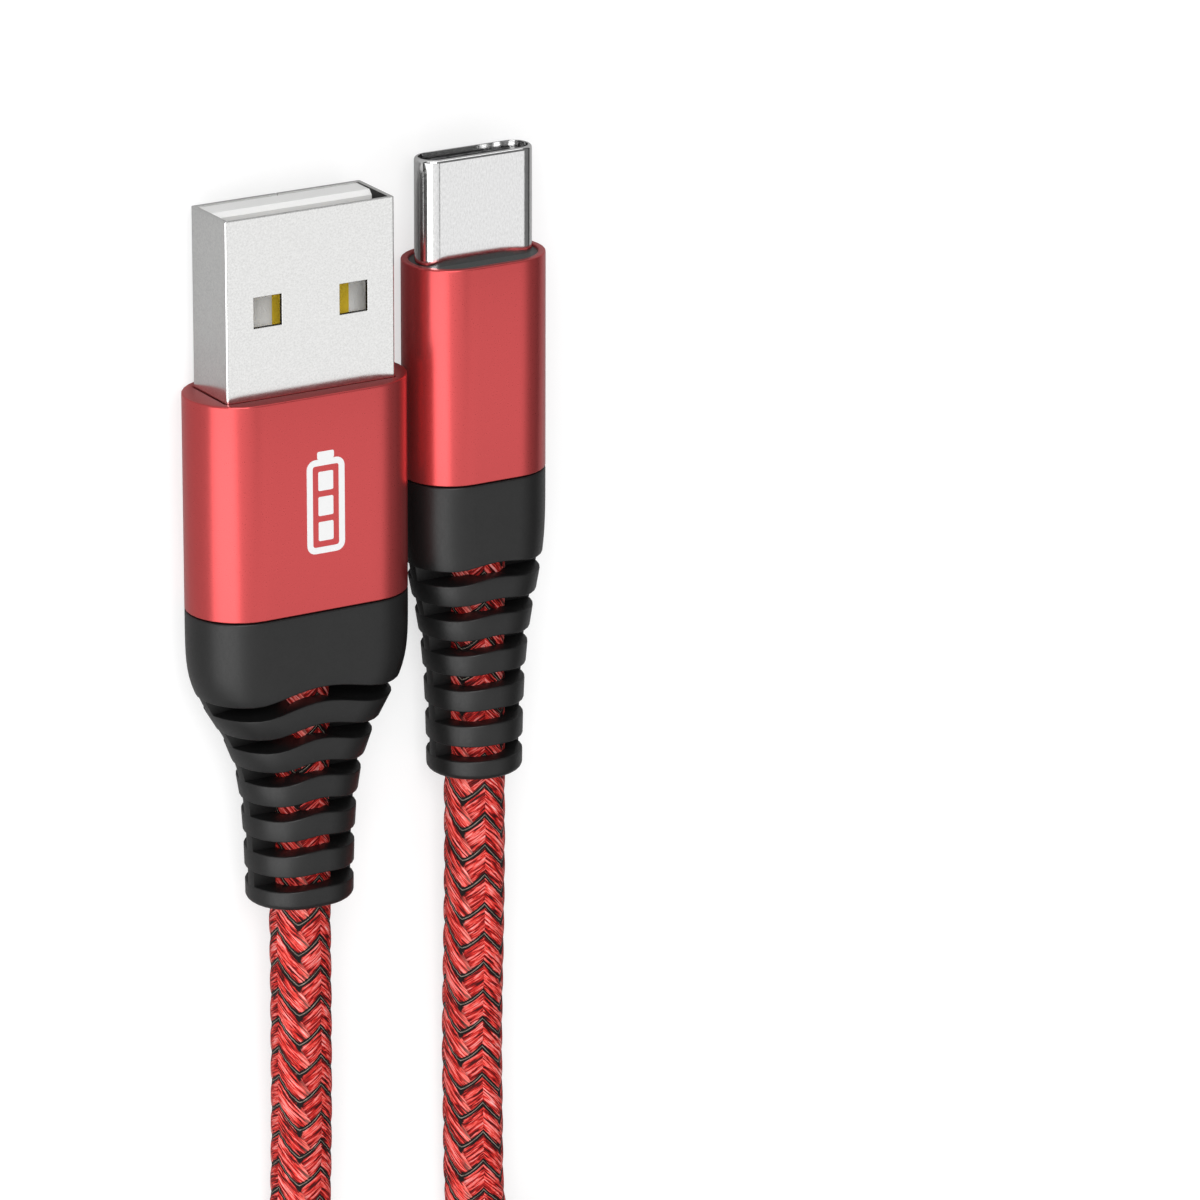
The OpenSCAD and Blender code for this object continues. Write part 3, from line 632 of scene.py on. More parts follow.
mouldedPlastics = {  # satin mouldings: colours from and to, and roughness
    "mouldedWhitePolyester": ("#EEEEED", "#F6F6F5", 0.34),  # clean bright satin round the contacts
    "mouldedBlackCrystalPolymer": ("#171717", "#202122", 0.4),  # hard, dense black with a dull shine
    "mouldedIvoryHotMelt": ("#D9CFA8", "#E6DDBC", 0.5),  # cloudy cream, poured at low pressure
    "mouldedGreyCollar": ("#363939", "#424646", 0.42),  # dark grey washer, slightly greyer on its flats
    "epoxyChipBody": ("#141416", "#1C1C1F", 0.45),  # printed thick-film body, dark and dense
}
for name, (first, second, rough) in mouldedPlastics.items():
    grainedFinishes[name] = {"shader": {"IOR": 1.55}, "grain": 0.1, "rough": rough, "spread": 0.05,
                             "depth": 0.0015, "tones": (first, second)}
wireJackets = {  # extruded wire insulation: smooth, with a wax-like shine
    "extrudedRedWire": ("#A81611", "#C01A14"), "extrudedWhiteWire": ("#CCCCCA", "#E8E8E6"),
    "extrudedGreenWire": ("#117033", "#14803A"), "extrudedBlackWire": ("#111111", "#141414"),
}
for name, tones in wireJackets.items():
    grainedFinishes[name] = {"shader": {"IOR": 1.5}, "grain": 0.3, "rough": 0.3, "spread": 0.04,
                             "depth": 0.001, "stretch": (1, 0.2, 1), "tones": tones}


def makeGrainedFinish(name, size):
    material, tree, shader = newMaterial(name, **size["shader"])
    tint = addGrain(tree, shader, size["grain"], size["rough"], size["spread"], size["depth"],
                    size.get("stretch", (1, 1, 1)))
    if "patch" in size:
        where = addNode(tree, "ShaderNodeTexCoord", output="Object")
        tint = addNode(tree, "ShaderNodeTexNoise", {"Vector": where, "Scale": 1 / (size["patch"] * mm),
                                                    "Detail": 2.0})
    addTint(tree, shader, tint, *size["tones"])
    return material


def makeSolderMask(name):
    # Printed solder mask over glass-fibre board: deep green gloss, the 0.5 mm weave just showing.
    material, tree, shader = newMaterial(name, Coat_Weight=0.4, Coat_Roughness=0.12)
    addGrain(tree, shader, 0.5, 0.35, 0.05, 0.002)
    where = addNode(tree, "ShaderNodeTexCoord", output="Object")
    weave = addNode(tree, "ShaderNodeTexChecker", {"Vector": where, "Color1": colourOf("#0B5A2A"),
                                                  "Color2": colourOf("#0F6832"), "Scale": 1 / (0.5 * mm)})
    tree.links.new(weave, shader.inputs["Base Color"])
    return material


finishes = {name: makeGrainedFinish(name, size) for name, size in grainedFinishes.items()}
finishes["solderMaskedBoard"] = makeSolderMask("solderMaskedBoard")
print("finishes made")


# Strain reliefs, with depths counted from the seam towards the cord

reliefSize = {
    "length": 20.25,
    "slotCount": 6, "slotWidth": 1.0, "slotPitch": 2.43, "lastSlot": 18.45,
    "archReach": 0.75,  # share of the half width that a slot's arch rises over
    "webThick": 0.8, "webRound": 0.04, "webSteps": 24,
    "webStart": 2.0, "webEnd": 1.0,  # how far it runs past the first and the last slot
    "bore": 2.02, "webBore": 1.5,
    "spigotLength": 1.2, "spigotGap": 0.02,
    "seamGap": 0.09, "seamRound": 0.1, "ribRound": 0.08, "endRound": 0.4,
    "bodySteps": 10, "endSteps": 3,
}
reliefShapes = {
    "usb_a_strain_relief": {"seat": seatA, "wide": 7.6, "thick": 3.5, "narrow": 3.5, "thin": 3.0,
                            "middle": 8.2, "steepness": 4.7, "firstArch": 0.7, "sleeveWall": 0.6},
    "usb_c_strain_relief": {"seat": seatC, "wide": 4.85, "thick": 3.1, "narrow": 3.07, "thin": 3.05,
                            "middle": 9.1, "steepness": 4.2, "firstArch": 0.3, "sleeveWall": 0.5},
}


def halfSizes(shape, depth):
    flare = 1 / (1 + (max(depth, 0) / shape["middle"]) ** shape["steepness"])
    return (shape["narrow"] + (shape["wide"] - shape["narrow"]) * flare,
            shape["thin"] + (shape["thick"] - shape["thin"]) * flare)


def reliefRing(shape, depth, rise, inset=0.0, bore=False):
    seat, ring = shape["seat"], []
    halfWide, halfThick = halfSizes(shape, depth)
    for angle, across in ovalSamples:
        x = across * (halfWide - halfThick) + (halfThick - inset) * math.cos(angle)
        lift = rise * math.cos(math.pi / 2 * min(1, abs(x) / (reliefSize["archReach"] * halfWide))) ** 2
        z = (halfSizes(shape, depth - lift)[1] - inset) * math.sin(angle)
        if bore:
            reach = reliefSize["bore"] / math.hypot(x, z)
            x, z = x * reach, z * reach
        ring.append((seat[0] + x, seat[1] - depth + lift, seat[2] + z))
    return ring


def reliefBand(shape, ends, rounds, rises, steps):  # each pair is for its front end and its end at the cord
    rings = [reliefRing(shape, ends[0], rises[0], bore=True)]
    for inset, drop in reversed(edgeSteps(rounds[0])):
        rings.append(reliefRing(shape, ends[0] + drop, rises[0], inset))
    start, stop = ends[0] + rounds[0], ends[1] - rounds[1]
    for step in range(1, steps):
        share = step / steps
        rings.append(reliefRing(shape, start + (stop - start) * share,
                                rises[0] + (rises[1] - rises[0]) * share ** 2))
    rings += [reliefRing(shape, ends[1] - drop, rises[1], inset) for inset, drop in edgeSteps(rounds[1])]
    return rings + [reliefRing(shape, ends[1], rises[1], bore=True)]


def makeRibTree(material):
    tree, given = newTree("slottedRelief", Vector=["Seat"], Float=[
        "Wide", "Narrow", "Thick", "Thin", "Middle", "Steepness", "First arch", "First slot",
        "Slot pitch", "Slot width", "Slot count", "Arch reach", "Bore", "Edge round"])

    # One rib is a ring swept from a rounded strip; each point keeps its place round, across and along
    stripWide = 8.0
    circle = addNode(tree, "GeometryNodeCurvePrimitiveCircle", {"Resolution": 64, "Radius": 20.0},
                     mode="RADIUS")
    around = addNode(tree, "GeometryNodeSplineParameter", output="Factor")
    high = addNode(tree, "ShaderNodeMath", [given["Slot pitch"], given["Slot width"]], operation="SUBTRACT")
    strip = addNode(tree, "GeometryNodeCurvePrimitiveQuadrilateral", {"Width": stripWide, "Height": high})
    strip = addNode(tree, "GeometryNodeFilletCurve",
                    {"Curve": strip, "Count": 3, "Radius": given["Edge round"]}, mode="POLY")
    seen = addNode(tree, "GeometryNodeInputPosition")
    stripX, stripY = addNode(tree, "ShaderNodeSeparateXYZ", [seen], output=None)[:2]
    inset = addNode(tree, "ShaderNodeMath", [stripWide / 2, stripX], operation="SUBTRACT")
    share = addNode(tree, "ShaderNodeMath", [stripY, high], operation="DIVIDE")
    share = addNode(tree, "ShaderNodeMath", [share, 0.5], operation="ADD")
    circle = addNode(tree, "GeometryNodeStoreNamedAttribute",
                     {"Geometry": circle, "Name": "around", "Value": around}, data_type="FLOAT")
    for name, value in (("inset", inset), ("share", share)):
        strip = addNode(tree, "GeometryNodeStoreNamedAttribute",
                        {"Geometry": strip, "Name": name, "Value": value}, data_type="FLOAT")
    rib = addNode(tree, "GeometryNodeCurveToMesh", {"Curve": circle, "Profile Curve": strip})
    ribCount = addNode(tree, "ShaderNodeMath", [given["Slot count"], 1.0], operation="SUBTRACT")
    spots = addNode(tree, "GeometryNodeMeshLine", {"Count": ribCount, "Offset": (0, 0, 0)})
    ribs = addNode(tree, "GeometryNodeInstanceOnPoints", {"Points": spots, "Instance": rib})
    ribs = addNode(tree, "GeometryNodeStoreNamedAttribute",
                   {"Geometry": ribs, "Name": "rib", "Value": addNode(tree, "GeometryNodeInputIndex")},
                   data_type="FLOAT", domain="INSTANCE")
    ribs = addNode(tree, "GeometryNodeRealizeInstances", {"Geometry": ribs})
    around, inset, share, ribNumber = [
        addNode(tree, "GeometryNodeInputNamedAttribute", {"Name": name}, data_type="FLOAT")
        for name in ("around", "inset", "share", "rib")]

    # Two arcs and two flats round the oval
    quarters = addNode(tree, "ShaderNodeMath", [around, 4.0], operation="MULTIPLY")
    parts = [addNode(tree, "ShaderNodeMath", [quarters, float(passed)], operation="SUBTRACT", use_clamp=True)
             for passed in range(4)]
    arcs = addNode(tree, "ShaderNodeMath", [parts[0], parts[2]], operation="ADD")
    flats = addNode(tree, "ShaderNodeMath", [parts[1], parts[3]], operation="SUBTRACT")
    angle = addNode(tree, "ShaderNodeMath", [arcs, math.pi, -math.pi / 2], operation="MULTIPLY_ADD")
    across = addNode(tree, "ShaderNodeMath", [flats, -2.0, 1.0], operation="MULTIPLY_ADD")
    cosine = addNode(tree, "ShaderNodeMath", [angle], operation="COSINE")
    sine = addNode(tree, "ShaderNodeMath", [angle], operation="SINE")

    # How deep the point lies below the seam, and how high its slots arch
    slotNumber = addNode(tree, "ShaderNodeMath", [ribNumber, share], operation="ADD")
    fallen = addNode(tree, "ShaderNodeMath", [slotNumber, given["Slot count"]], operation="DIVIDE")
    remaining = addNode(tree, "ShaderNodeMath", [1.0, fallen], operation="SUBTRACT")
    rise = addNode(tree, "ShaderNodeMath", [remaining, given["First arch"]], operation="MULTIPLY")
    depth = given["First slot"]
    for count, length in ((ribNumber, given["Slot pitch"]), (0.5, given["Slot width"]), (share, high)):
        depth = addNode(tree, "ShaderNodeMath", [count, length, depth], operation="MULTIPLY_ADD")

    def taper(at, wide, narrow):
        steep = addNode(tree, "ShaderNodeMath", [at, given["Middle"]], operation="DIVIDE")
        steep = addNode(tree, "ShaderNodeMath", [steep, given["Steepness"]], operation="POWER")
        steep = addNode(tree, "ShaderNodeMath", [steep, 1.0], operation="ADD")
        flare = addNode(tree, "ShaderNodeMath", [1.0, steep], operation="DIVIDE")
        more = addNode(tree, "ShaderNodeMath", [given[wide], given[narrow]], operation="SUBTRACT")
        return addNode(tree, "ShaderNodeMath", [flare, more, given[narrow]], operation="MULTIPLY_ADD")

    halfWide = taper(depth, "Wide", "Narrow")
    halfThick = taper(depth, "Thick", "Thin")
    corner = addNode(tree, "ShaderNodeMath", [halfThick, inset], operation="SUBTRACT")
    centre = addNode(tree, "ShaderNodeMath", [halfWide, halfThick], operation="SUBTRACT")
    curved = addNode(tree, "ShaderNodeMath", [corner, cosine], operation="MULTIPLY")
    x = addNode(tree, "ShaderNodeMath", [across, centre, curved], operation="MULTIPLY_ADD")
    offMiddle = addNode(tree, "ShaderNodeMath", [x], operation="ABSOLUTE")
    reach = addNode(tree, "ShaderNodeMath", [halfWide, given["Arch reach"]], operation="MULTIPLY")
    offMiddle = addNode(tree, "ShaderNodeMath", [offMiddle, reach], operation="DIVIDE", use_clamp=True)
    crest = addNode(tree, "ShaderNodeMath", [offMiddle, math.pi / 2], operation="MULTIPLY")
    crest = addNode(tree, "ShaderNodeMath", [crest], operation="COSINE")
    crest = addNode(tree, "ShaderNodeMath", [crest, crest], operation="MULTIPLY")
    arch = addNode(tree, "ShaderNodeMath", [rise, crest], operation="MULTIPLY")
    raised = addNode(tree, "ShaderNodeMath", [depth, arch], operation="SUBTRACT")
    tall = addNode(tree, "ShaderNodeMath", [taper(raised, "Thick", "Thin"), inset], operation="SUBTRACT")
    z = addNode(tree, "ShaderNodeMath", [tall, sine], operation="MULTIPLY")
    outer = addNode(tree, "ShaderNodeCombineXYZ", [x, 0.0, z])

    # The strip's inner edge lies on the bore instead
    side = addNode(tree, "ShaderNodeMath", [halfThick, cosine], operation="MULTIPLY")
    side = addNode(tree, "ShaderNodeMath", [across, centre, side], operation="MULTIPLY_ADD")
    upward = addNode(tree, "ShaderNodeMath", [halfThick, sine], operation="MULTIPLY")
    towards = addNode(tree, "ShaderNodeCombineXYZ", [side, 0.0, upward])
    towards = addNode(tree, "ShaderNodeVectorMath", [towards], operation="NORMALIZE")
    bored = addNode(tree, "ShaderNodeVectorMath", {0: towards, "Scale": given["Bore"]}, operation="SCALE")
    inside = addNode(tree, "ShaderNodeMath", [inset, 1.0], operation="GREATER_THAN")
    spot = addNode(tree, "ShaderNodeMix", {"Factor": inside, 4: outer, 5: bored}, output=1,
                   data_type="VECTOR")
    back = addNode(tree, "ShaderNodeMath", [raised, -1.0], operation="MULTIPLY")
    for offset in (addNode(tree, "ShaderNodeCombineXYZ", [0.0, back, 0.0]), given["Seat"]):
        spot = addNode(tree, "ShaderNodeVectorMath", [spot, offset], operation="ADD")
    spot = addNode(tree, "ShaderNodeVectorMath", {0: spot, "Scale": mm}, operation="SCALE")
    ribs = addNode(tree, "GeometryNodeSetPosition", {"Geometry": ribs, "Position": spot})
    ribs = addNode(tree, "GeometryNodeFlipFaces", {"Mesh": ribs})
    return closeTree(tree, ribs, material)


def makeRelief(node, shape, size, tree, material):
    seat, arch = shape["seat"], shape["firstArch"]
    firstSlot = size["lastSlot"] - (size["slotCount"] - 1) * size["slotPitch"]
    ribs = runTree(node, bpy.data.meshes.new("ribs"), tree, {
        "Wide": shape["wide"], "Narrow": shape["narrow"], "Thick": shape["thick"], "Thin": shape["thin"],
        "Middle": shape["middle"], "Steepness": shape["steepness"], "First arch": arch,
        "First slot": firstSlot, "Slot pitch": size["slotPitch"], "Slot width": size["slotWidth"],
        "Slot count": float(size["slotCount"]), "Arch reach": size["archReach"], "Bore": size["bore"],
        "Edge round": size["ribRound"], "Seat": seat}, material, ("around", "inset", "share", "rib"))

    # The body under the sleeve, with the spigot that the sleeve is pressed over
    halfSlot = size["slotWidth"] / 2
    body = reliefBand(shape, (size["seamGap"], firstSlot - halfSlot), (size["seamRound"], size["ribRound"]),
                      (0, arch), size["bodySteps"])
    wide, thick = (shape[key] - shape["sleeveWall"] - size["spigotGap"] for key in ("wide", "thick"))
    spigot = [sectionRing(seat, at, wide, thick, thick) for at in (size["spigotLength"], -size["seamGap"])]
    top = [(x, seat[1] + size["spigotLength"], z) for x, y, z in body[0]]
    end = reliefBand(shape, (size["lastSlot"] + halfSlot, size["length"]),
                     (size["ribRound"], size["endRound"]), (arch / size["slotCount"], 0), size["endSteps"])
    meshes = [ribs, loft("body", [top] + spigot + body[1:], looped=True), loft("end", end, looped=True)]

    # The web that carries the ribs, on both sides of the cord
    half, inset, steps = size["webThick"] / 2, size["webRound"], size["webSteps"]
    start, stop = firstSlot - size["webStart"], size["lastSlot"] + size["webEnd"]
    for side in (-1, 1):
        rings = []
        for step in range(steps + 1):
            depth = start + (stop - start) * step / steps
            halfWide, halfThick = halfSizes(shape, depth)
            edge = halfWide - halfThick + math.sqrt(halfThick ** 2 - half ** 2) - inset
            lower = ((size["webBore"], -half), (edge, -half), (halfWide - 0.75 * inset, -0.6 * half))
            outline = lower + ((halfWide - inset / 4, 0),) + tuple((x, -z) for x, z in reversed(lower))
            rings.append([(seat[0] + side * x, seat[1] - depth, seat[2] + z) for x, z in outline])
        meshes.append(loft("web", rings))
    place(makePiece(node + "_slotted", meshes, material), "black_rubber", node)


ribTree = makeRibTree(finishes["mouldedElastomerBlack"])
for reliefNode, reliefShape in reliefShapes.items():
    makeRelief(reliefNode, reliefShape, reliefSize, ribTree, finishes["mouldedElastomerBlack"])
print("strain reliefs made")


# Sleeves

sleeveSize = {
    "A": {"length": 14.2, "wide": 15.2, "thick": 7.0, "wall": 0.6, "frontWall": 0.8},
    "C": {"length": 14.3, "wide": 9.7, "thick": 6.2, "wall": 0.5},
    "rimRound": 0.1, "seamRound": 0.07, "mouthRound": 0.05,
    "shellGap": 0.1,  # between the USB-A shell and the front wall
}
shellSize = {
    "A": {"wide": 12.0, "thick": 4.5, "corner": 0.35, "fold": 0.15, "edgeRound": 0.045,
          "windows": (5.12, 7.12),  # where they start and end behind the tip
          "sideReach": 0.5, "slack": 0.1},  # the inner side faces lie less than this far in
    "C": {"wide": 8.25, "thick": 2.4, "wall": 0.25, "lipRound": 0.22, "lipSteps": 8, "innerRound": 0.03},
}


def makeSleeve(node, seat, size, edges, opening=None):
    outer = (size["wide"] / 2, size["thick"] / 2, size["thick"] / 2)
    inner = [half - size["wall"] for half in outer]
    seam = reversed(edgeSteps(edges["seamRound"]))
    rings = [sectionRing(seat, drop, *outer, inset) for inset, drop in seam]
    rings += edgeRings(seat, size["length"], outer, edges["rimRound"])
    if opening:  # a front wall that the shell comes out through
        rings += edgeRings(seat, size["length"], opening, edges["mouthRound"], mouth=True)
        back = size["length"] - size["frontWall"]
        rings += [sectionRing(seat, back, *section) for section in (opening, inner)]
    else:
        rings += edgeRings(seat, size["length"], inner, edges["rimRound"], mouth=True)
    rings.append(sectionRing(seat, 0, *inner))
    skin = loft("sleeve", rings, looped=True)
    place(makePiece(node + "_anodised", [skin], finishes["anodisedAluminiumRed"]), "red_aluminium", node)


shellOpening = [shellSize["A"][key] / 2 + sleeveSize["shellGap"] for key in ("wide", "thick")]
makeSleeve("usb_a_sleeve", seatA, sleeveSize["A"], sleeveSize, shellOpening + [shellSize["A"]["corner"]])
makeSleeve("usb_c_sleeve", seatC, sleeveSize["C"], sleeveSize)
print("sleeves made")


# Shells

def tightenFolds(work, size):  # bends the strip's four corners tighter, as a press does, and keeps its flats
    reach, fold = size["corner"], size["fold"]
    for vert in work.verts:
        at = Vector((vert.co.x / mm - seatA[0], vert.co.z / mm - seatA[2]))
        side = Vector((math.copysign(1, at.x), math.copysign(1, at.y)))
        middle = side * Vector((size["wide"] / 2 - reach, size["thick"] / 2 - reach))
        out = at - middle
        if min(out * side) < -1e-3 or out.length < reach - 0.02:  # on a flat, or inside the wall
            continue
        moved = middle + side * (reach - fold) + out.normalized() * fold
        vert.co.x, vert.co.z = (moved.x + seatA[0]) * mm, (moved.y + seatA[2]) * mm


def makeFoldedShell(size):  # keeps the node's windows and dovetailed seam, and rounds every cut edge
    mesh = bpy.data.objects["usb_a_shell"].data.copy()
    work = bmesh.new()
    work.from_mesh(mesh)
    bmesh.ops.remove_doubles(work, verts=work.verts, dist=2e-6)
    bmesh.ops.dissolve_limit(work, angle_limit=math.radians(1), verts=work.verts, edges=work.edges)
    tightenFolds(work, size)
    cut = [edge for edge in work.edges if edge.is_manifold and edge.calc_face_angle(0) > math.radians(60)]
    bmesh.ops.bevel(work, geom=cut, offset=size["edgeRound"] * mm, segments=2, profile=0.5,
                    affect="EDGES", clamp_overlap=True)
    bmesh.ops.dissolve_degenerate(work, dist=1e-6, edges=work.edges)
    work.to_mesh(mesh)
    work.free()
    finish = finishes["nickelPlatedSteelStrip"]
    shell = makePiece("usb_a_shell_folded", [mesh], finish, sharpAngle=50, flatRatio=4)
    shell.data.materials.append(finishes["paintedShadeSteelEdge"])
    near, far = (tipA - reach for reach in size["windows"])
    slack, innerSide = size["slack"], size["wide"] / 2 - size["sideReach"]
    # Faces in the window walls and on the inner sides take the near-black edge finish: painted shade
    for face in shell.data.polygons:
        x, y = face.center.x / mm - seatA[0], face.center.y / mm
        atWindow = far - slack < y < near + slack and abs(x) < innerSide - slack
        atSide = face.normal.x * x < 0 and abs(x) > innerSide
        if atWindow and abs(face.normal.z) < 0.3 or atSide and abs(face.normal.x) > 0.9:
            face.material_index = 1
    place(shell, "nickel_steel", "usb_a_shell")


def makeDrawnShell(size):
    low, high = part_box("usb_c_shell")
    front, rear = high.y / mm - seatC[1], low.y / mm - seatC[1]
    outer = (size["wide"] / 2, size["thick"] / 2, size["thick"] / 2)
    inner = [half - size["wall"] for half in outer]
    rings = [sectionRing(seatC, rear, *outer)]
    rings += edgeRings(seatC, front, outer, size["lipRound"], size["lipSteps"])
    rings += edgeRings(seatC, front, inner, size["innerRound"], mouth=True)[1:]  # the lip ends on the first
    rings.append(sectionRing(seatC, rear, *inner))
    skin = loft("shell", rings, looped=True)
    shell = makePiece("usb_c_shell_drawn", [skin], finishes["drawnStainlessSteel"], sharpAngle=40)
    place(shell, "nickel_steel", "usb_c_shell")


makeFoldedShell(shellSize["A"])
makeDrawnShell(shellSize["C"])
print("shells made")


# Hook-and-loop tie round the hank

tieSize = {
    "width": 10.0, "thick": 0.95,
    "corner": 4.0, "cornerSteps": 8,
    "overlap": 14.0,  # how far the end runs back over the first layer
    "lapStart": 5.5, "lapRise": 3.5,  # how far before its middle the strap ends its first turn, and climbs
    "lapGap": 0.03, "lapSteps": 8,
    "edgeRound": 0.3, "endRound": 3.0, "endTaper": 0.8,  # share of its rounding that the end is narrowed by
}


def makeHookAndLoop(name):
    # Woven nylon strap with a napped loop face: matt black, a plain weave 0.6 mm wide and
    # loose loop fibres that catch a little light.
    material, tree, shader = newMaterial(name, Roughness=0.85, Sheen_Weight=0.35, Sheen_Roughness=0.5)
    where = addNode(tree, "ShaderNodeTexCoord", output="Object")
    weave = addNode(tree, "ShaderNodeTexWave", {"Vector": where, "Scale": 1 / (0.6 * mm) / 3.2,
                                                "Distortion": 0.6, "Detail": 2.0}, bands_direction="Y")
    nap = addNode(tree, "ShaderNodeTexNoise", {"Vector": where, "Scale": 1 / (0.25 * mm), "Detail": 4.0})
    height = addNode(tree, "ShaderNodeMath", [weave, 0.6, nap], operation="MULTIPLY_ADD")
    bump = addNode(tree, "ShaderNodeBump", {"Strength": 0.7, "Distance": 0.12 * mm, "Height": height})
    tree.links.new(bump, shader.inputs["Normal"])
    addTint(tree, shader, nap, "#0E0E0F", "#2C2C2E")
    return material


def tiePath(size):  # once round the hank's waist from the top, then back over the start
    low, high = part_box("cable_tie")
    half, corner = size["thick"] / 2, size["corner"]
    left, right, bottom, top = (low.x / mm + half, high.x / mm - half, low.z / mm + half, high.z / mm - half)
    middle = (left + right) / 2
    path = [((middle, top), (0, 1))]
    for x, z, first in ((right - corner, top - corner, 90), (right - corner, bottom + corner, 0),
                        (left + corner, bottom + corner, -90), (left + corner, top - corner, -180)):
        for step in range(size["cornerSteps"] + 1):
            angle = math.radians(first - 90 * step / size["cornerSteps"])
            normal = (math.cos(angle), math.sin(angle))
            path.append(((x + corner * normal[0], z + corner * normal[1]), normal))
    path.append(((middle - size["lapStart"], top + 0.02), (0, 1)))
    over, climb = size["thick"] + size["lapGap"], size["lapRise"]
    for step in range(size["lapSteps"] + 1):
        share = step / size["lapSteps"]
        rise = over * (0.5 - 0.5 * math.cos(math.pi * min(1, share * 3)))  # over the lap's first third
        path.append(((middle - climb + (size["overlap"] - climb) * share, top + rise), (0, 1)))
    return path, (low.y + high.y) / 2 / mm


def makeTie(size, material):
    path, middleY = tiePath(size)
    half, edge, endRound, rings = size["thick"] / 2, size["edgeRound"], size["endRound"], []
    for count, ((x, z), normal) in enumerate(path):
        left = path[-1][0][0] - x if count > len(path) - size["lapSteps"] - 1 else endRound
        narrowed = endRound - math.sqrt(max(0, endRound ** 2 - (endRound - min(left, endRound)) ** 2))
        halfWidth = size["width"] / 2 - narrowed * size["endTaper"]
        ring = []
        for sideY, sideN, first in ((1, 1, 0), (-1, 1, 90), (-1, -1, 180), (1, -1, 270)):
            for step in range(5):
                angle = math.radians(first + 90 * step / 4)
                y = sideY * (halfWidth - edge) + edge * math.cos(angle)
                n = sideN * (half - edge) + edge * math.sin(angle)
                ring.append((x + n * normal[0], middleY + y, z + n * normal[1]))
        rings.append(ring)
    tie = makePiece("cable_tie_strap", [loft("tie", rings)], material)
    place(tie, "black_webbing", "cable_tie")
    return tie


tiePiece = makeTie(tieSize, makeHookAndLoop("wovenHookAndLoopStrap"))
print("tie made")


# Battery pictogram on the wide sleeve

printSize = {
    "wide": 2.7, "high": 6.2,
    "stroke": 0.42, "corner": 0.6,
    "capWide": 1.2, "capHigh": 0.5, "capCorner": 0.12,
    "bars": 3, "barGap": 0.4, "barCorner": 0.1,
    "ink": 0.02, "sunk": 0.01,  # above and below the sleeve's face
    "across": 0.25, "along": 6.95,  # its middle, from the plug's seat
}


def inkBlock(size, middle, wide, high, corner):
    rings, (x, y, z) = [], middle
    for lift in (-size["sunk"], size["ink"]):
        ring = []
        for turn, (sideX, sideY) in enumerate(((1, 1), (-1, 1), (-1, -1), (1, -1))):
            for step in range(7):
                angle = math.radians(90 * turn + 15 * step)
                ring.append((x + sideX * (wide / 2 - corner) + corner * math.cos(angle),
                             y + sideY * (high / 2 - corner) + corner * math.sin(angle), z + lift))
        rings.append(ring)
    return rings


def makePrint(size, material):
    x, y, top = seatA[0] + size["across"], seatA[1] + size["along"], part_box("usb_a_sleeve")[1].z / mm
    innerWide, innerHigh = size["wide"] - 2 * size["stroke"], size["high"] - 2 * size["stroke"]
    outer = inkBlock(size, (x, y, top), size["wide"], size["high"], size["corner"])
    inner = inkBlock(size, (x, y, top), innerWide, innerHigh, size["corner"] - size["stroke"])
    meshes = [loft("frame", [*outer, *reversed(inner)], looped=True)]
    cap = (x, y + (size["high"] + size["capHigh"]) / 2, top)
    meshes.append(loft("cap", inkBlock(size, cap, size["capWide"], size["capHigh"], size["capCorner"])))
    gap = size["barGap"]
    barHigh = (innerHigh - (size["bars"] + 1) * gap) / size["bars"]
    for bar in range(size["bars"]):
        spot = (x, y - innerHigh / 2 + gap + barHigh / 2 + bar * (barHigh + gap), top)
        meshes.append(loft("bar", inkBlock(size, spot, innerWide - 2 * gap, barHigh, size["barCorner"])))
    place(makePiece("usb_a_sleeve_print", meshes, material), "red_aluminium")


makePrint(printSize, finishes["screenPrintedWhiteInk"])
print("print made")


# Finishes of the pieces kept from the frame

keptPieces = {
    "usb_a_insulator": "mouldedWhitePolyester", "usb_a_inner_mould": "mouldedIvoryHotMelt",
    "usb_c_housing": "mouldedBlackCrystalPolymer", "usb_c_inner_mould": "mouldedIvoryHotMelt",
    "usb_c_collar": "mouldedGreyCollar", "usb_c_latch_spring": "rolledSpringSteel",
    "usb_c_ground_spring_upper": "rolledSpringSteel", "usb_c_ground_spring_lower": "rolledSpringSteel",
    "usb_c_contacts_upper": "goldFlashedCopperAlloy", "usb_c_contacts_lower": "goldFlashedCopperAlloy",
    "usb_c_paddle_board": "solderMaskedBoard", "usb_c_pullup_resistor": "epoxyChipBody",
}
wireColours = {"vbus": "extrudedRedWire", "dminus": "extrudedWhiteWire", "dplus": "extrudedGreenWire",
               "ground": "extrudedBlackWire"}
for line, jacket in wireColours.items():
    keptPieces["usb_a_contact_" + line] = "goldFlashedCopperAlloy"
    for plug in ("usb_a_wire_", "usb_c_wire_"):
        keptPieces[plug + line] = jacket
for node, finish in keptPieces.items():
    kept = bpy.data.objects[node]
    kept.data.materials.clear()
    kept.data.materials.append(finishes[finish])
print("kept pieces finished", len(keptPieces))


# Floor and light

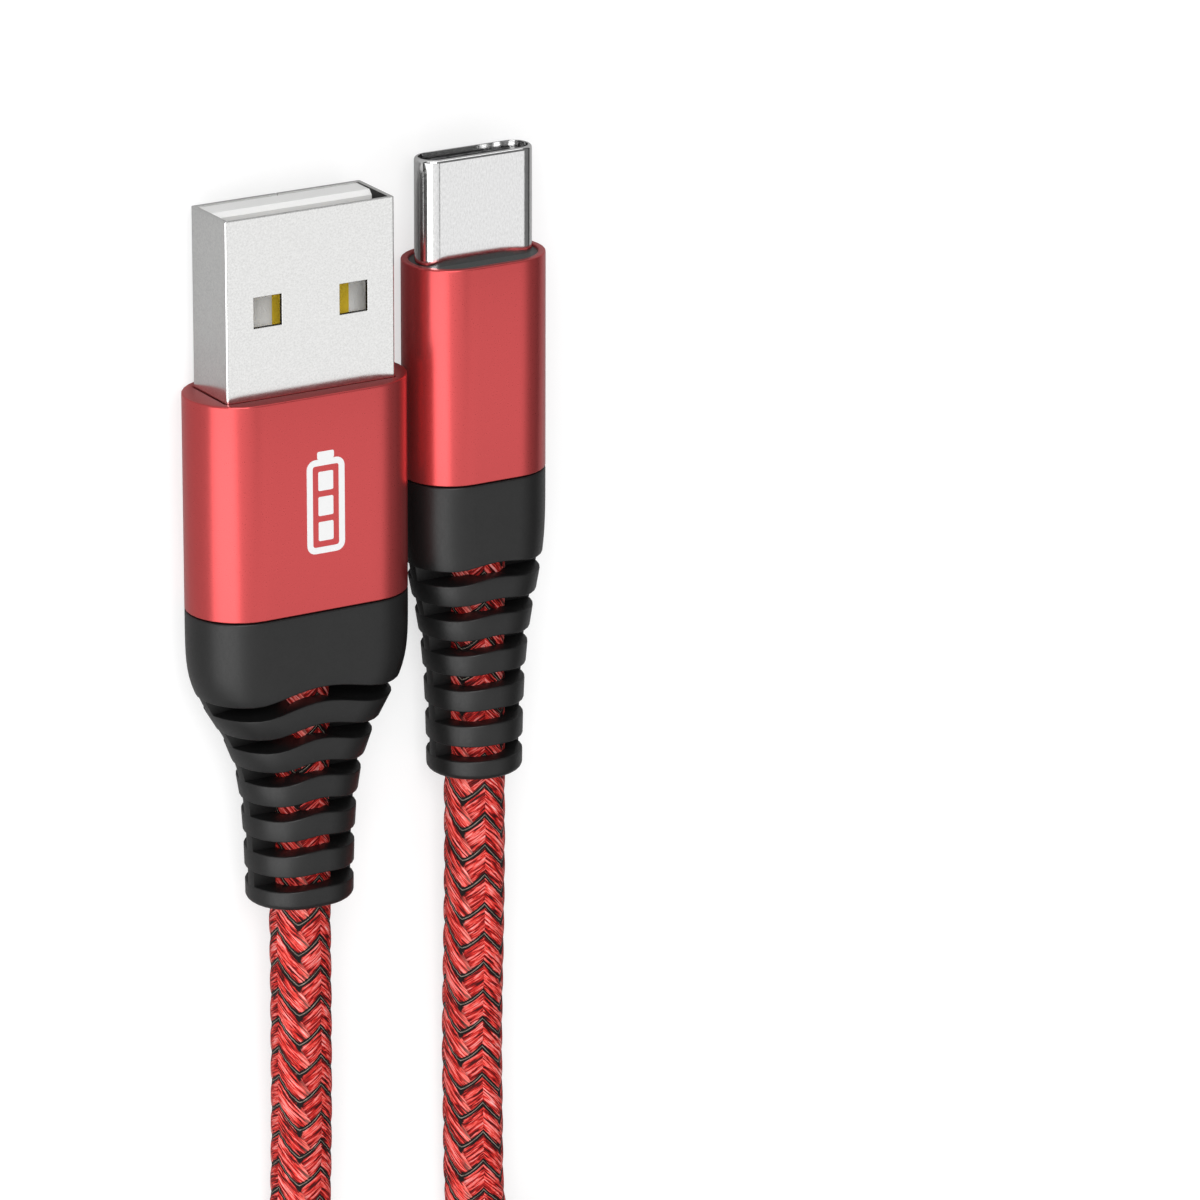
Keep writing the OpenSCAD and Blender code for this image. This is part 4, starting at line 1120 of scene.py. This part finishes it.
studio = {
    "worldLeft": 0.4, "worldRight": 0.2,  # the studio is darker on the side away from the windows
    "sideFade": (-0.2, 0.4),  # where the darkening starts and ends, as a share of the way to the right
    "horizon": 0.1,  # share of the light left low down, which draws dark lines along rounded metal
    "horizonFade": (0.12, 0.3),  # heights between which it comes back, as a share of straight up
    "floorHalf": 3.0,
    "floorSeen": 0.62, "floorMirrored": 0.04,  # its own light where it is seen, and in reflections
}
softboxes = {  # degrees to the left and towards the tips, metres away, size, and light per unit of area
    "right": {"angle": -29, "back": -20, "distance": 0.9, "wide": 0.52, "long": 0.65, "radiance": 0.93},
    "overhead": {"angle": 14, "back": -20, "distance": 0.9, "wide": 0.75, "long": 0.65, "radiance": 0.72},
    "left": {"angle": 59, "back": -19, "distance": 0.8, "wide": 0.78, "long": 0.62, "radiance": 2.55},
    "key": {"angle": 24, "back": 27, "distance": 1.0, "wide": 0.6, "long": 0.6, "radiance": 5.2},
    "front": {"angle": 0, "back": 77, "distance": 1.0, "wide": 1.4, "long": 0.35, "radiance": 1.8},
}


def makePaper(name, size):
    # Seamless white paper: even and matt, with a faint 3 mm mottle. It adds a little of its own
    # light where it is seen, so it reads as white and still takes the object's shadow.
    material, tree, shader = newMaterial(name, Roughness=0.9, Emission_Color=(1, 1, 1, 1))
    where = addNode(tree, "ShaderNodeTexCoord", output="Object")
    mottle = addNode(tree, "ShaderNodeTexNoise", {"Vector": where, "Scale": 1 / (3 * mm), "Detail": 2.0})
    addTint(tree, shader, mottle, "#A8A8A8", "#ABABAB")
    path = addNode(tree, "ShaderNodeLightPath", output=None)
    mirrored = addNode(tree, "ShaderNodeMath", [path["Is Glossy Ray"], path["Is Transmission Ray"]],
                       operation="MAXIMUM")
    mirrored = addNode(tree, "ShaderNodeMath", [mirrored, size["floorMirrored"]], operation="MULTIPLY")
    glow = addNode(tree, "ShaderNodeMath", [path["Is Camera Ray"], size["floorSeen"], mirrored],
                   operation="MULTIPLY_ADD")
    tree.links.new(glow, shader.inputs["Emission Strength"])
    return material


def makeFloor(size):
    half = size["floorHalf"] / mm
    corners = [(-half, -half, 0), (half, -half, 0), (half, half, 0), (-half, half, 0)]
    sheet = makeMesh("floor", corners, [(0, 1, 2, 3)])
    floor = makePiece("floor", [sheet], makePaper("seamlessPaper", size))


def makeSoftbox(name, size):
    turn, tip = math.radians(size["angle"]), math.radians(size["back"])
    away = Vector((-math.sin(turn) * math.cos(tip), math.sin(tip), math.cos(turn) * math.cos(tip)))
    data = bpy.data.lights.new(name, "AREA")
    data.shape = "RECTANGLE"
    data.size, data.size_y = size["wide"], size["long"]
    data.energy = size["radiance"] * math.pi * size["wide"] * size["long"]
    side = Vector((0, 1, 0)).cross(away).normalized()
    turned = Matrix((side, away.cross(side), away)).transposed().to_4x4()
    addObject(name, data).matrix_world = Matrix.Translation(away * size["distance"]) @ turned


def makeWorld(size):  # dim all round, and darker towards the right and the horizon
    world = bpy.data.worlds.new("studio")
    world.use_nodes = True
    tree = world.node_tree
    background = tree.nodes["Background"]
    background.inputs["Color"].default_value = (1, 1, 1, 1)
    where = addNode(tree, "ShaderNodeTexCoord", output="Object")
    directions = addNode(tree, "ShaderNodeSeparateXYZ", [where], output=None)
    strength, share = [
        addNode(tree, "ShaderNodeMapRange", {"Value": direction, "From Min": fade[0], "From Max": fade[1],
                                             "To Min": first, "To Max": last})
        for direction, fade, first, last in (
            (directions["X"], size["sideFade"], size["worldLeft"], size["worldRight"]),
            (directions["Z"], size["horizonFade"], size["horizon"], 1.0))]
    strength = addNode(tree, "ShaderNodeMath", [strength, share], operation="MULTIPLY")
    tree.links.new(strength, background.inputs["Strength"])
    bpy.context.scene.world = world


makeFloor(studio)
for name, size in softboxes.items():
    makeSoftbox(name + "Softbox", size)
makeWorld(studio)
bpy.context.scene.view_settings.view_transform = "Standard"
print("lit")
